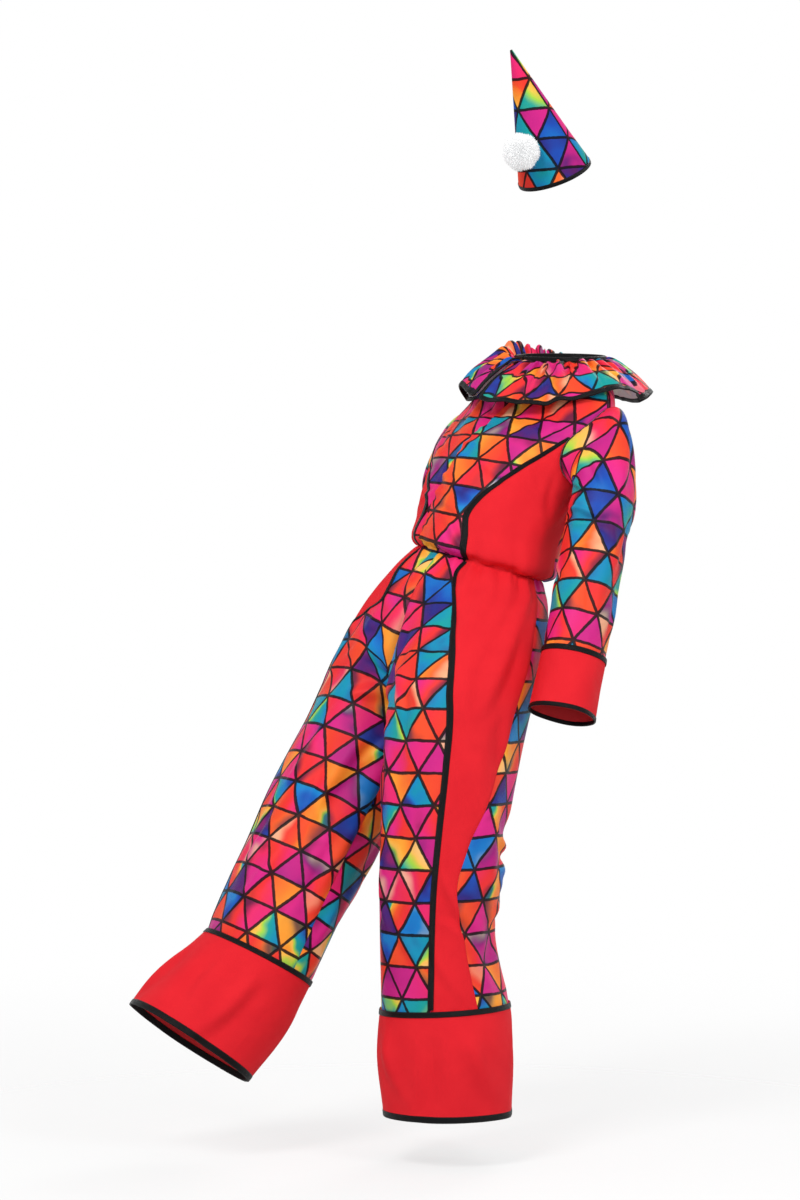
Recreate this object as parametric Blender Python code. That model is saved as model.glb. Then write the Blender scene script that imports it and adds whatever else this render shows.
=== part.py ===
"""Clown costume: a one-piece suit with a ruffled collar and turned cuffs, and its cone hat.

The suit keeps the form that it has when worn: it leans back from the waist, stands on its left leg
and kicks its right leg forward. Every piece of cloth is one thin wall, 0.3 mm from the next piece.

Metres. +Z is up, the wearer faces -Y and the wearer's left is +X. The origin is the middle of the
neck opening.
"""

import math
from collections import namedtuple

import bmesh
import bpy
import numpy as np

# ---------------------------------------------------------------- driving dimensions

WALL = 0.0012
SEAM = 0.0003
TAPE_WALL = 0.0010
TAPE_LIFT = 0.0004
BINDING_WALL = 0.0024
CUFF_TAPE_WIDTH = 0.0075
SLEEVE_BINDING_WIDTH = 0.0060
TROUSER_BINDING_WIDTH = 0.0090
COLLAR_BINDING_WIDTH = 0.0075

COLUMNS_FRONT = 8
COLUMNS_SIDE = 7
COLUMNS_BACK = 18
ROWS_BELOW_ARMHOLE = 7
ROWS_ARMHOLE = 5
ROWS_SHOULDER = 3

SLEEVE_ROWS = 10
SLEEVE_CUFF_ROWS = 2
LEG_ROWS_ABOVE_CROTCH = 5
LEG_ROWS_BELOW_CROTCH = 10
LEG_CUFF_ROWS = 3
COLUMNS_LEG_FRONT = 8
COLUMNS_LEG_SIDE = 5
COLUMNS_LEG_BACK = 10

# Bodice sections from the waist seam, v = 0, to the neck, v = 1.
TrunkRow = namedtuple("TrunkRow", "v y z half_width front back dip_left dip_back square")
TRUNK = (
    TrunkRow(0.00, -0.148, -0.290, 0.097, 0.075, 0.072, -0.20, -0.21, 2.0),
    TrunkRow(0.08, -0.146, -0.283, 0.112, 0.088, 0.085, -0.20, -0.21, 2.0),
    TrunkRow(0.25, -0.134, -0.247, 0.113, 0.089, 0.086, -0.16, -0.20, 2.0),
    TrunkRow(0.50, -0.106, -0.188, 0.121, 0.088, 0.086, -0.10, -0.22, 2.1),
    TrunkRow(0.70, -0.076, -0.132, 0.134, 0.078, 0.078, -0.06, -0.22, 2.2),
    TrunkRow(0.84, -0.043, -0.085, 0.137, 0.061, 0.068, -0.04, -0.15, 2.05),
    TrunkRow(0.93, -0.016, -0.041, 0.104, 0.062, 0.060, -0.02, -0.08, 2.0),
    TrunkRow(0.97, -0.005, -0.0200, 0.075, 0.059, 0.058, 0.00, 0.00, 2.0),
    TrunkRow(1.00, 0.000, -0.0046, 0.064, 0.055, 0.054, 0.00, 0.00, 2.0),
)

# Turns round the bodice of its seams, in degrees from the wearer's left towards the back.
TapeRow = namedtuple("TapeRow", "v turn")
BODICE_TAPE = (
    TapeRow(0.00, -61.5),
    TapeRow(0.18, -64.0),
    TapeRow(0.31, -68.0),
    TapeRow(0.42, -61.5),
    TapeRow(0.54, -49.0),
    TapeRow(0.73, -28.0),
)
BODICE_LAP = (
    TapeRow(0.00, -108.0),
    TapeRow(0.45, -101.0),
    TapeRow(0.80, -91.0),
    TapeRow(1.00, -88.0),
)
UNDERLAP_TURN = 20.0
BODICE_SIDE_TURN_WAIST = 24.0
SHOULDER_TURN = 2.0

ARMHOLE_TURN = 5.0
ARMHOLE_HALF_TURN = 29.0
ARMHOLE_HEIGHT = 0.712
ARMHOLE_HALF_HEIGHT = 0.148
TAPE_JOINS_ARMHOLE = -82.0
SIDE_JOINS_ARMHOLE = 128.0

# Half a tape's width, as a turn round the bodice, round a leg and round the armhole's edge, and how
# far the tapes stop short of the waist seam and of their other end.
BODICE_TAPE_TURN = 2.4
LEG_TAPE_TURN = 2.9
ARMHOLE_TAPE_TURN = 7.0
BODICE_TAPE_SHORT = (0.0030, 0.0015)
LEG_TAPE_SHORT = (0.0030, 0.0036)

# The left front laps over the right front, which lies this much deeper under it.
LAP_DEPTH = 0.0024

# Sleeve sections from the armhole, s = 0, to the cuff seam, s = 1.
SleeveRow = namedtuple("SleeveRow", "s x y z half_width half_depth")
SLEEVE_LEFT = (
    SleeveRow(0.16, 0.165, -0.070, -0.154, 0.041, 0.047),
    SleeveRow(0.34, 0.177, -0.084, -0.200, 0.040, 0.044),
    SleeveRow(0.55, 0.182, -0.101, -0.247, 0.041, 0.044),
    SleeveRow(0.80, 0.194, -0.134, -0.336, 0.040, 0.042),
    SleeveRow(1.00, 0.200, -0.160, -0.412, 0.040, 0.042),
)
SLEEVE_RIGHT = (
    SleeveRow(0.16, 0.165, -0.052, -0.144, 0.041, 0.047),
    SleeveRow(0.34, 0.178, -0.044, -0.187, 0.040, 0.044),
    SleeveRow(0.55, 0.188, -0.035, -0.243, 0.041, 0.044),
    SleeveRow(0.80, 0.196, -0.050, -0.335, 0.040, 0.042),
    SleeveRow(1.00, 0.200, -0.070, -0.413, 0.040, 0.042),
)
SLEEVE_CAP_END = 0.34
SLEEVE_CUFF_LENGTH = 0.080
SLEEVE_CUFF_GROWTH = 0.0015
SLEEVE_CUFF_OVERLAP = 0.0015
SLEEVE_CUFF_FLARE = 0.0029

# Trouser sections round both hips, from the waist seam, s = 0, to the crotch.
HipRow = namedtuple("HipRow", "s y z half_width front back dip_left dip_back")
HIPS = (
    HipRow(0.00, -0.148, -0.290, 0.097, 0.075, 0.072, -0.20, -0.21),
    HipRow(0.05, -0.163, -0.318, 0.120, 0.087, 0.083, -0.16, -0.19),
    HipRow(0.11, -0.185, -0.352, 0.136, 0.093, 0.094, -0.10, -0.16),
    HipRow(0.20, -0.213, -0.405, 0.149, 0.098, 0.102, -0.04, -0.10),
    HipRow(0.31, -0.236, -0.470, 0.158, 0.108, 0.106, 0.00, 0.00),
)
CROTCH = 0.31
CROTCH_Y = -0.236
CROTCH_Z = -0.492

# Trouser leg sections, down to the cuff seam at s = 1. Sideways places are from the middle outwards.
LegRow = namedtuple("LegRow", "s x y z half_width front back rise_front rise_out")
LEG_LEFT = (
    LegRow(0.00, 0.080, -0.170, -0.290, 0.080, 0.100, 0.100, 0.10, 0.00),
    LegRow(0.20, 0.080, -0.222, -0.405, 0.080, 0.108, 0.104, 0.05, 0.00),
    LegRow(0.31, 0.082, -0.250, -0.470, 0.082, 0.106, 0.102, 0.00, 0.00),
    LegRow(0.45, 0.085, -0.272, -0.548, 0.083, 0.096, 0.094, 0.00, 0.00),
    LegRow(0.66, 0.086, -0.290, -0.672, 0.080, 0.086, 0.080, 0.00, 0.00),
    LegRow(0.84, 0.085, -0.296, -0.778, 0.077, 0.078, 0.071, 0.00, 0.00),
    LegRow(1.00, 0.085, -0.285, -0.8735, 0.083, 0.084, 0.084, -0.03, 0.045),
)
LEG_RIGHT = (
    LegRow(0.00, 0.080, -0.180, -0.300, 0.080, 0.096, 0.100, 0.30, 0.00),
    LegRow(0.20, 0.078, -0.220, -0.400, 0.078, 0.082, 0.104, 0.35, 0.00),
    LegRow(0.31, 0.081, -0.250, -0.462, 0.081, 0.074, 0.096, 0.42, 0.05),
    LegRow(0.45, 0.089, -0.286, -0.530, 0.081, 0.067, 0.088, 0.50, 0.10),
    LegRow(0.66, 0.104, -0.342, -0.635, 0.079, 0.068, 0.084, 0.54, 0.12),
    LegRow(0.84, 0.113, -0.392, -0.732, 0.077, 0.067, 0.073, 0.54, 0.14),
    LegRow(1.00, 0.121, -0.434, -0.815, 0.075, 0.064, 0.064, 0.54, 0.16),
)

# Turns of the trouser seams round each leg: 0 is the outer side, -90 the front.
LegSeamRow = namedtuple("LegSeamRow", "s tape side")
LEG_SEAMS_LEFT = (
    LegSeamRow(0.00, -123.0, 18.0),
    LegSeamRow(0.03, -128.0, 18.0),
    LegSeamRow(0.06, -120.0, 18.0),
    LegSeamRow(0.10, -102.0, 18.0),
    LegSeamRow(0.15, -80.0, 18.0),
    LegSeamRow(0.20, -62.5, 20.0),
    LegSeamRow(0.25, -51.5, 20.0),
    LegSeamRow(0.31, -44.5, 18.0),
    LegSeamRow(0.46, -41.5, 8.0),
    LegSeamRow(0.60, -42.8, -8.0),
    LegSeamRow(0.71, -44.8, -23.0),
    LegSeamRow(0.86, -47.0, -14.0),
    LegSeamRow(1.00, -53.0, -9.0),
)
LEG_SEAMS_RIGHT = (
    LegSeamRow(0.00, -123.0, 18.0),
    LegSeamRow(0.05, -124.0, 18.0),
    LegSeamRow(0.09, -130.0, 18.0),
    LegSeamRow(0.12, -127.0, 18.0),
    LegSeamRow(0.15, -100.0, 18.5),
    LegSeamRow(0.19, -70.0, 20.0),
    LegSeamRow(0.31, -50.0, 28.0),
    LegSeamRow(0.60, -44.0, 16.0),
    LegSeamRow(1.00, -48.0, 6.0),
)

# Trouser cuffs, from the cuff seam, t = 0, to the hem, t = 1.
CuffRow = namedtuple("CuffRow", "t x y z half_width half_depth rise_front rise_out")
LEG_CUFF_LEFT = (
    CuffRow(0.00, 0.085, -0.285, -0.8720, 0.0845, 0.0855, -0.03, 0.045),
    CuffRow(0.35, 0.085, -0.283, -0.921, 0.0905, 0.0925, -0.02, 0.03),
    CuffRow(1.00, 0.085, -0.279, -1.008, 0.085, 0.087, 0.00, 0.00),
)
LEG_CUFF_RIGHT = (
    CuffRow(0.00, 0.1208, -0.4333, -0.8137, 0.0765, 0.0654, 0.54, 0.16),
    CuffRow(0.45, 0.133, -0.477, -0.865, 0.083, 0.074, 0.59, 0.18),
    CuffRow(1.00, 0.149, -0.524, -0.919, 0.081, 0.073, 0.69, 0.20),
)

# Elastic gathers at the waist seam, and puckers along the lapped opening.
WAIST_GATHER_HEIGHT = 0.0016
WAIST_GATHER_REACH = 0.085
LAP_PUCKER_HEIGHT = 0.0016

# Main folds: where each is, the way it runs (0 round the body, 90 down it), its half-length and
# half-width on the cloth, and its height, which is below 0 for a trough.
FoldRow = namedtuple("FoldRow", "turn at angle length width depth")
BODICE_FOLDS = (
    FoldRow(-56.0, 0.66, 62.0, 0.050, 0.014, 0.0030),
    FoldRow(-64.0, 0.30, 78.0, 0.060, 0.015, -0.0030),
    FoldRow(-112.0, 0.50, 100.0, 0.070, 0.018, -0.0035),
    FoldRow(-22.0, 0.20, 82.0, 0.050, 0.018, 0.0030),
    FoldRow(8.0, 0.30, 96.0, 0.060, 0.018, -0.0035),
    FoldRow(52.0, 0.28, 74.0, 0.060, 0.022, 0.0045),
    FoldRow(78.0, 0.40, 88.0, 0.070, 0.022, -0.0040),
    FoldRow(104.0, 0.30, 100.0, 0.070, 0.022, 0.0045),
    FoldRow(134.0, 0.26, 96.0, 0.060, 0.022, -0.0035),
    FoldRow(160.0, 0.40, 84.0, 0.060, 0.020, 0.0030),
    FoldRow(-137.0, 0.13, 90.0, 0.055, 0.045, -0.0060),
)
SLEEVE_FOLDS = (
    FoldRow(-70.0, 0.30, 28.0, 0.030, 0.014, -0.0028),
    FoldRow(-96.0, 0.46, 18.0, 0.030, 0.013, 0.0026),
    FoldRow(-60.0, 0.60, -14.0, 0.032, 0.014, -0.0028),
    FoldRow(120.0, 0.40, -24.0, 0.030, 0.014, 0.0028),
    FoldRow(80.0, 0.58, 16.0, 0.030, 0.015, -0.0028),
    FoldRow(-120.0, 0.80, 24.0, 0.030, 0.014, 0.0024),
    FoldRow(20.0, 0.78, -20.0, 0.030, 0.016, -0.0022),
)
LEG_FOLDS_LEFT = (
    FoldRow(-128.0, 0.30, 66.0, 0.080, 0.018, 0.0050),
    FoldRow(-98.0, 0.36, 78.0, 0.090, 0.018, -0.0040),
    FoldRow(-118.0, 0.62, 86.0, 0.090, 0.018, -0.0035),
    FoldRow(-14.0, 0.60, 70.0, 0.090, 0.017, -0.0065),
    FoldRow(14.0, 0.66, 76.0, 0.090, 0.020, 0.0060),
    FoldRow(56.0, 0.62, 12.0, 0.045, 0.018, -0.0060),
    FoldRow(60.0, 0.72, -10.0, 0.045, 0.018, 0.0050),
    FoldRow(20.0, 0.88, -34.0, 0.035, 0.014, -0.0040),
    FoldRow(110.0, 0.34, 60.0, 0.080, 0.020, -0.0055),
    FoldRow(140.0, 0.48, 80.0, 0.090, 0.020, 0.0050),
)
LEG_FOLDS_RIGHT = (
    FoldRow(-140.0, 0.22, 30.0, 0.055, 0.014, 0.0050),
    FoldRow(-120.0, 0.28, 44.0, 0.075, 0.015, -0.0050),
    FoldRow(-110.0, 0.20, 36.0, 0.065, 0.014, 0.0045),
    FoldRow(-84.0, 0.30, 60.0, 0.080, 0.016, -0.0040),
    FoldRow(-150.0, 0.55, 84.0, 0.110, 0.016, -0.0060),
    FoldRow(-176.0, 0.60, 88.0, 0.120, 0.018, 0.0055),
    FoldRow(-60.0, 0.70, 74.0, 0.080, 0.018, -0.0035),
    FoldRow(60.0, 0.30, 30.0, 0.070, 0.020, -0.0060),
    FoldRow(84.0, 0.44, 24.0, 0.060, 0.020, 0.0055),
    FoldRow(96.0, 0.64, 12.0, 0.050, 0.020, -0.0055),
    FoldRow(130.0, 0.84, 80.0, 0.070, 0.020, -0.0040),
)
# Length of cloth to one degree round, and to the whole way down, on which folds are measured.
BODICE_SCALE = (0.0018, -0.33)
SLEEVE_SCALE = (0.00073, 0.35)
LEG_SCALE = (0.0015, 0.62)

# How a sleeve leaves the armhole, at its top and under the arm, as slopes of the cloth to the cap's end.
CAP_LEAVES_TOP = np.array([0.120, 0.020, 0.050])
CAP_LEAVES_UNDER = np.array([0.064, 0.000, -0.068])

# Collar ruffle.
COLLAR_GATHERS = 28
COLLAR_COLUMNS = 4 * COLLAR_GATHERS
COLLAR_ROWS = (0.0, 0.035, 0.13, 0.36, 0.68, 1.0)
COLLAR_OPENING_TURN = -100.0
COLLAR_OPENING_GAP = 1.2
COLLAR_NECK_X = 0.0680
COLLAR_NECK_Y = 0.0592
COLLAR_DEPTH = 0.077
COLLAR_DROP = 0.046
COLLAR_GATHER_HEIGHT = 0.0016
COLLAR_SEAM_DEPTH = 0.0057
COLLAR_FRONT_DROP = 0.010
# Over the left shoulder the ruffle reaches out by this much less: the share, its turn and spread.
COLLAR_SHORTER = (0.21, 26.0, 46.0)
# Behind the right shoulder the ruffle stands up by this height, at its turn and with this spread.
COLLAR_CROWN = (0.033, -174.0, 56.0)
# Slopes of the neck opening, to the wearer's left and to the back.
NECK_TILT = (-0.09, 0.075)
# How far the whole neck opening drops below its row.
NECK_SINK = 0.0008

# Soft waves of the ruffle: turn of the crest, its half-width in degrees, and its height at the edge.
WaveRow = namedtuple("WaveRow", "turn spread height")
COLLAR_WAVES = (
    WaveRow(-128.0, 22.0, 0.024),
    WaveRow(-84.0, 10.0, -0.004),
    WaveRow(-58.0, 14.0, -0.010),
    WaveRow(-34.0, 12.0, -0.006),
    WaveRow(-7.0, 14.0, 0.004),
    WaveRow(22.0, 13.0, -0.006),
    WaveRow(52.0, 15.0, 0.005),
    WaveRow(84.0, 14.0, -0.005),
    WaveRow(116.0, 16.0, 0.010),
    WaveRow(148.0, 14.0, -0.005),
    WaveRow(180.0, 15.0, 0.007),
    WaveRow(206.0, 10.0, -0.003),
)

NECK_BINDING_HEIGHT = 0.0070
NECK_BINDING_WALL = 0.0050
NECK_BINDING_LOW = -0.0044
NECK_BINDING_COLUMNS = 56

# Hat.
HAT_BASE = (0.0175, -0.028, 0.251)
HAT_APEX = (0.0315, -0.120, 0.4075)
HAT_RADIUS = 0.052
HAT_TIP_RADIUS = 0.0016
HAT_COLUMNS = 28
HAT_ROWS = 4
HAT_BINDING_WIDTH = 0.006
POMPOM_RADIUS = 0.0265
POMPOM_CORE = 0.55
POMPOM_RISE = 0.0508
POMPOM_TURN = -74.0
POMPOM_SINK = 0.0018

RED = (0.80, 0.030, 0.035)
BLACK = (0.012, 0.012, 0.014)
PRINT = (0.75, 0.22, 0.20)
WHITE = (0.90, 0.90, 0.88)
Finish = namedtuple("Finish", "name colour roughness")
RED_CLOTH = Finish("red_cloth", RED, 0.62)
PRINT_CLOTH = Finish("print_cloth", PRINT, 0.50)
BLACK_TAPE = Finish("black_tape", BLACK, 0.45)
WHITE_YARN = Finish("white_yarn", WHITE, 0.90)


# ---------------------------------------------------------------- curves and small helpers


def along(table, column, at):
    """One column of a station table, as a smooth curve of the table's first column."""
    knots = np.array([row[0] for row in table])
    values = np.array([getattr(row, column) for row in table])
    slopes = np.gradient(values, knots)
    at = np.clip(at, knots[0], knots[-1])
    cell = np.clip(np.searchsorted(knots, at, side="right") - 1, 0, len(knots) - 2)
    width = knots[cell + 1] - knots[cell]
    t = (at - knots[cell]) / width
    start = (1 + 2 * t) * (1 - t) ** 2 * values[cell] + t * (1 - t) ** 2 * width * slopes[cell]
    end = t**2 * (3 - 2 * t) * values[cell + 1] + t**2 * (t - 1) * width * slopes[cell + 1]
    return start + end


def ease(low, high, at):
    """0 below low, 1 above high, and a smooth rise between them."""
    t = np.clip((at - low) / (high - low), 0.0, 1.0)
    return t * t * (3 - 2 * t)


def bump(at, centre, spread):
    """A soft ridge of height 1 at its centre, gone at about twice its spread."""
    return np.exp(-(((at - centre) / spread) ** 2))


def turn_between(turn, centre):
    """The turn from centre to turn, in degrees from -180 to 180."""
    return (turn - centre + 180.0) % 360.0 - 180.0


def unit(vectors):
    """The vectors at length 1."""
    return vectors / np.linalg.norm(vectors, axis=-1, keepdims=True)


def stack(x, y, z):
    """Three arrays of coordinates as one array of points."""
    return np.stack(np.broadcast_arrays(x, y, z), axis=-1)


def superellipse(angle, square):
    """Sideways and forward shares of a section, rounder at 2 and squarer above it."""
    cos, sin = np.cos(angle), np.sin(angle)
    size = (np.abs(cos) ** square + np.abs(sin) ** square) ** (1 / square)
    return cos / size, sin / size


# ---------------------------------------------------------------- surfaces
# Each surface takes a turn in degrees and a way along it, and gives points on the cloth's outside.


def plain_trunk(turn, v):
    """The bodice before its folds."""
    angle = np.radians(turn)
    side, ahead = superellipse(angle, along(TRUNK, "square", v))
    depth = np.where(ahead < 0, along(TRUNK, "front", v), along(TRUNK, "back", v))
    x = along(TRUNK, "half_width", v) * side
    y = depth * ahead
    z = along(TRUNK, "z", v)
    z = z + along(TRUNK, "dip_left", v) * x + along(TRUNK, "dip_back", v) * y
    z = z + (neck_tilt(x, y) - NECK_SINK) * ease(0.88, 0.985, v)
    return stack(x, y + along(TRUNK, "y", v), z)


def trunk(turn, v):
    """The bodice: turn 0 is the wearer's left, -90 the front."""
    turn, v = np.broadcast_arrays(turn, v)
    height = folds(BODICE_FOLDS, turn, v, BODICE_SCALE) * (1 - ease(0.70, 0.86, v)) * ease(0.0, 0.1, v)
    return plain_trunk(turn, v) + height[..., None] * normals(plain_trunk, turn, v)


def trunk_underlap(turn, v):
    """The bodice where the right front passes under the left one."""
    points = trunk(turn, v)
    past_edge = turn - along(BODICE_LAP, "turn", v)
    depth = LAP_DEPTH * ease(-8.5, -1.5, past_edge)
    return points - depth[..., None] * normals(trunk, turn, v)


def armhole(turn):
    """Turn and height on the bodice of the left armhole: 0 is its top, -90 its front, 180 below."""
    angle = np.radians(turn)
    round_body = ARMHOLE_TURN + ARMHOLE_HALF_TURN * np.sin(angle)
    height = ARMHOLE_HEIGHT + ARMHOLE_HALF_HEIGHT * np.cos(angle)
    return round_body, height


def armhole_points(turn, mirrored):
    """Points of the armhole's edge on the bodice."""
    round_body, height = armhole(turn)
    if mirrored:
        round_body = 180.0 - round_body
    return trunk(round_body, height)


def folds(table, turn, at, scale):
    """Height of a table's folds at each point of a surface."""
    height = np.zeros(np.broadcast(turn, at).shape)
    for fold in table:
        aside = turn_between(turn, fold.turn) * scale[0]
        down = (at - fold.at) * scale[1]
        cos, sin = math.cos(math.radians(fold.angle)), math.sin(math.radians(fold.angle))
        lengthways = aside * cos + down * sin
        across = down * cos - aside * sin
        height += fold.depth * np.exp(-((lengthways / fold.length) ** 2) - (across / fold.width) ** 2)
    return height


def section_frame(table, at):
    """Directions of a sleeve's sections: along it, outwards and backwards."""
    step = 0.02
    ahead = np.stack([along(table, c, at + step) - along(table, c, at - step) for c in "xyz"], -1)
    ahead = unit(ahead)
    out = np.array([1.0, 0.0, 0.0]) - ahead * ahead[..., :1]
    out = unit(out)
    back = np.cross(out, ahead)
    return ahead, out, back


def sleeve_surface(table, mirrored):
    """The sleeve's surface: turn 0 is its outer side, -90 its front, 180 its inner side."""
    sign = 1.0 if mirrored else -1.0
    mirror = np.array([-1.0 if mirrored else 1.0, 1.0, 1.0])

    def ring(turn, s):
        angle = np.radians(turn)
        _, out, back = section_frame(table, s)
        centre = np.stack([along(table, c, s) for c in "xyz"], -1)
        wide = (along(table, "half_width", s) * np.cos(angle))[..., None]
        deep = (along(table, "half_depth", s) * np.sin(angle))[..., None]
        points = centre + wide * out + deep * back
        return points * mirror

    def plain(turn, s):
        turn, s = np.broadcast_arrays(turn, s)
        end = np.full_like(s, SLEEVE_CAP_END, dtype=float)
        step = 0.01
        arrive = (ring(turn, end + step) - ring(turn, end - step)) * SLEEVE_CAP_END / (2 * step)
        top = (0.5 + 0.5 * np.cos(np.radians(turn)))[..., None]
        leave = (top * CAP_LEAVES_TOP + (1 - top) * CAP_LEAVES_UNDER) * mirror
        t = np.clip(s / SLEEVE_CAP_END, 0.0, 1.0)[..., None]
        start = (1 + 2 * t) * (1 - t) ** 2 * armhole_points(turn, mirrored) + t * (1 - t) ** 2 * leave
        cap = start + t**2 * (3 - 2 * t) * ring(turn, end) + t**2 * (t - 1) * arrive
        return np.where(t < 1, cap, ring(turn, s))

    def surface(turn, s):
        turn, s = np.broadcast_arrays(turn, s)
        height = folds(SLEEVE_FOLDS, turn, s, SLEEVE_SCALE) * ease(0.04, 0.2, s) * (1 - ease(0.93, 1.0, s))
        return plain(turn, s) + (sign * height)[..., None] * normals(plain, turn, s)

    return surface


def sleeve_cuff_surface(table, mirrored):
    """The sleeve's cuff, straight on from the sleeve's end and a little wider."""

    def surface(turn, t):
        turn, t = np.broadcast_arrays(turn, t)
        angle = np.radians(turn)
        end = np.ones_like(t, dtype=float)
        ahead, out, back = section_frame(table, end)
        centre = np.stack([along(table, c, end) for c in "xyz"], -1)
        grow = SLEEVE_CUFF_GROWTH + SLEEVE_CUFF_FLARE * t
        wide = ((along(table, "half_width", end) + grow) * np.cos(angle))[..., None]
        deep = ((along(table, "half_depth", end) + grow) * np.sin(angle))[..., None]
        reach = (SLEEVE_CUFF_LENGTH * t - SLEEVE_CUFF_OVERLAP)[..., None]
        points = centre + reach * ahead + wide * out + deep * back
        if mirrored:
            points = points * (-1.0, 1.0, 1.0)
        return points

    return surface


def hip_points(turn, s, mirrored):
    """Section round both hips: turn 0 is the outer side, -180 the centre front, 180 the centre back."""
    angle = np.radians(turn / 2)
    sign = -1.0 if mirrored else 1.0
    depth = np.where(turn < 0, along(HIPS, "front", s), along(HIPS, "back", s))
    x = sign * along(HIPS, "half_width", s) * np.cos(angle)
    y = depth * np.sin(angle)
    z = along(HIPS, "z", s)
    z = z + along(HIPS, "dip_left", s) * x + along(HIPS, "dip_back", s) * y
    return stack(x, y + along(HIPS, "y", s), z)


def leg_points(turn, s, table, mirrored):
    """Section round one leg: turn 0 is the outer side, -90 the front."""
    angle = np.radians(turn)
    sign = -1.0 if mirrored else 1.0
    depth = np.where(np.sin(angle) < 0, along(table, "front", s), along(table, "back", s))
    x = along(table, "half_width", s) * np.cos(angle)
    y = depth * np.sin(angle)
    z = along(table, "z", s)
    z = z - along(table, "rise_front", s) * y + along(table, "rise_out", s) * x
    return stack(sign * (x + along(table, "x", s)), y + along(table, "y", s), z)


def crotch_line(turn, s):
    """Centre-front or centre-back seam, which curves in under the body to the crotch."""
    bend = np.clip(s / CROTCH, 0.0, 1.0) ** 3
    edge = hip_points(turn, s, False)
    edge[..., 0] = 0.0
    crotch = np.array([0.0, CROTCH_Y, CROTCH_Z])
    return edge + bend[..., None] * (crotch - edge)


def trouser_surface(table, fold_table, mirrored):
    """One half of the trousers, from the waist down to the cuff seam."""
    sign = -1.0 if mirrored else 1.0

    def blended(turn, s):
        share = ease(0.02, CROTCH, s)[..., None]
        return (1 - share) * hip_points(turn, s, mirrored) + share * leg_points(turn, s, table, mirrored)

    def plain(turn, s):
        turn, s = np.broadcast_arrays(turn, s)
        seam_turn = np.where(turn < 0, -180.0, 180.0)
        above = np.minimum(s, CROTCH)
        pull = crotch_line(seam_turn, above) - blended(seam_turn, above)
        fade = 1 - ease(CROTCH, CROTCH + 0.20, s)
        near = ease(95.0, 180.0, np.abs(turn)) * fade
        return blended(turn, s) + near[..., None] * pull

    def surface(turn, s):
        turn, s = np.broadcast_arrays(turn, s)
        height = folds(fold_table, turn, s, LEG_SCALE) * ease(0.0, 0.05, s) * (1 - ease(0.95, 1.0, s))
        height = height * (1 - ease(150.0, 180.0, np.abs(turn)) * (1 - ease(CROTCH, CROTCH + 0.08, s)))
        points = plain(turn, s) - (sign * height)[..., None] * normals(plain, turn, s)
        least = SEAM * ease(CROTCH - 0.01, CROTCH + 0.02, s)
        points[..., 0] = sign * np.maximum(sign * points[..., 0], least)
        return points

    return surface


def cuff_surface(table, mirrored):
    """A trouser cuff."""
    sign = -1.0 if mirrored else 1.0

    def surface(turn, t):
        turn, t = np.broadcast_arrays(turn, t)
        angle = np.radians(turn)
        x = along(table, "half_width", t) * np.cos(angle)
        y = along(table, "half_depth", t) * np.sin(angle)
        z = along(table, "z", t)
        z = z - along(table, "rise_front", t) * y + along(table, "rise_out", t) * x
        return stack(sign * (x + along(table, "x", t)), y + along(table, "y", t), z)

    return surface


def collar_surface(turn, v):
    """The ruffle: v runs from the neck seam to the outer edge."""
    turn, v = np.broadcast_arrays(turn, v)
    angle = np.radians(turn)
    gather = np.cos(np.radians(turn - COLLAR_OPENING_TURN) * COLLAR_GATHERS)
    gather = gather * COLLAR_GATHER_HEIGHT * (0.2 + 1.2 * bump(v, 0.2, 0.2))
    gather = gather * (1 - ease(0.3, 1.0, v))
    wave = sum(w.height * bump(turn_between(turn, w.turn), 0.0, w.spread) for w in COLLAR_WAVES)
    wave = wave * ease(0.05, 1.0, v)
    less, middle, spread = COLLAR_SHORTER
    reach = COLLAR_DEPTH * v * (1 - 0.06 * v) * (1 - less * bump(turn_between(turn, middle), 0.0, spread))
    x = (COLLAR_NECK_X + reach) * np.cos(angle)
    y = (COLLAR_NECK_Y + reach) * np.sin(angle)
    z = -COLLAR_SEAM_DEPTH - COLLAR_DROP * (0.48 * v + 0.52 * v * v) + gather + wave
    z = z - COLLAR_FRONT_DROP * v * np.clip(-np.sin(angle), 0, 1)
    crown, middle, spread = COLLAR_CROWN
    z = z + crown * ease(0.0, 0.24, v) * (1 - v) * bump(turn_between(turn, middle), 0.0, spread)
    return stack(x, y, z + neck_tilt(x, y) * (1 - ease(0.0, 1.0, v)))


def neck_tilt(x, y):
    """How much higher than its middle the neck opening is at a place."""
    return NECK_TILT[0] * x + NECK_TILT[1] * y


def normals(surface, turn, way):
    """Unit normals of a surface by finite differences, on the side that its coordinates give."""
    d_turn, d_way = 0.5, 0.004
    way = np.clip(way, 0.0, 1.0)
    round_it = surface(turn + d_turn, way) - surface(turn - d_turn, way)
    down_it = surface(turn, way + d_way) - surface(turn, way - d_way)
    return unit(np.cross(round_it, down_it))


# ---------------------------------------------------------------- meshes


def material(finish):
    """The Principled material of a finish, made once."""
    found = bpy.data.materials.get(finish.name)
    if found:
        return found
    made = bpy.data.materials.new(finish.name)
    made.use_nodes = True
    shader = made.node_tree.nodes["Principled BSDF"]
    shader.inputs["Base Color"].default_value = (*finish.colour, 1.0)
    shader.inputs["Roughness"].default_value = finish.roughness
    made.diffuse_color = (*finish.colour, 1.0)
    return made


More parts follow.
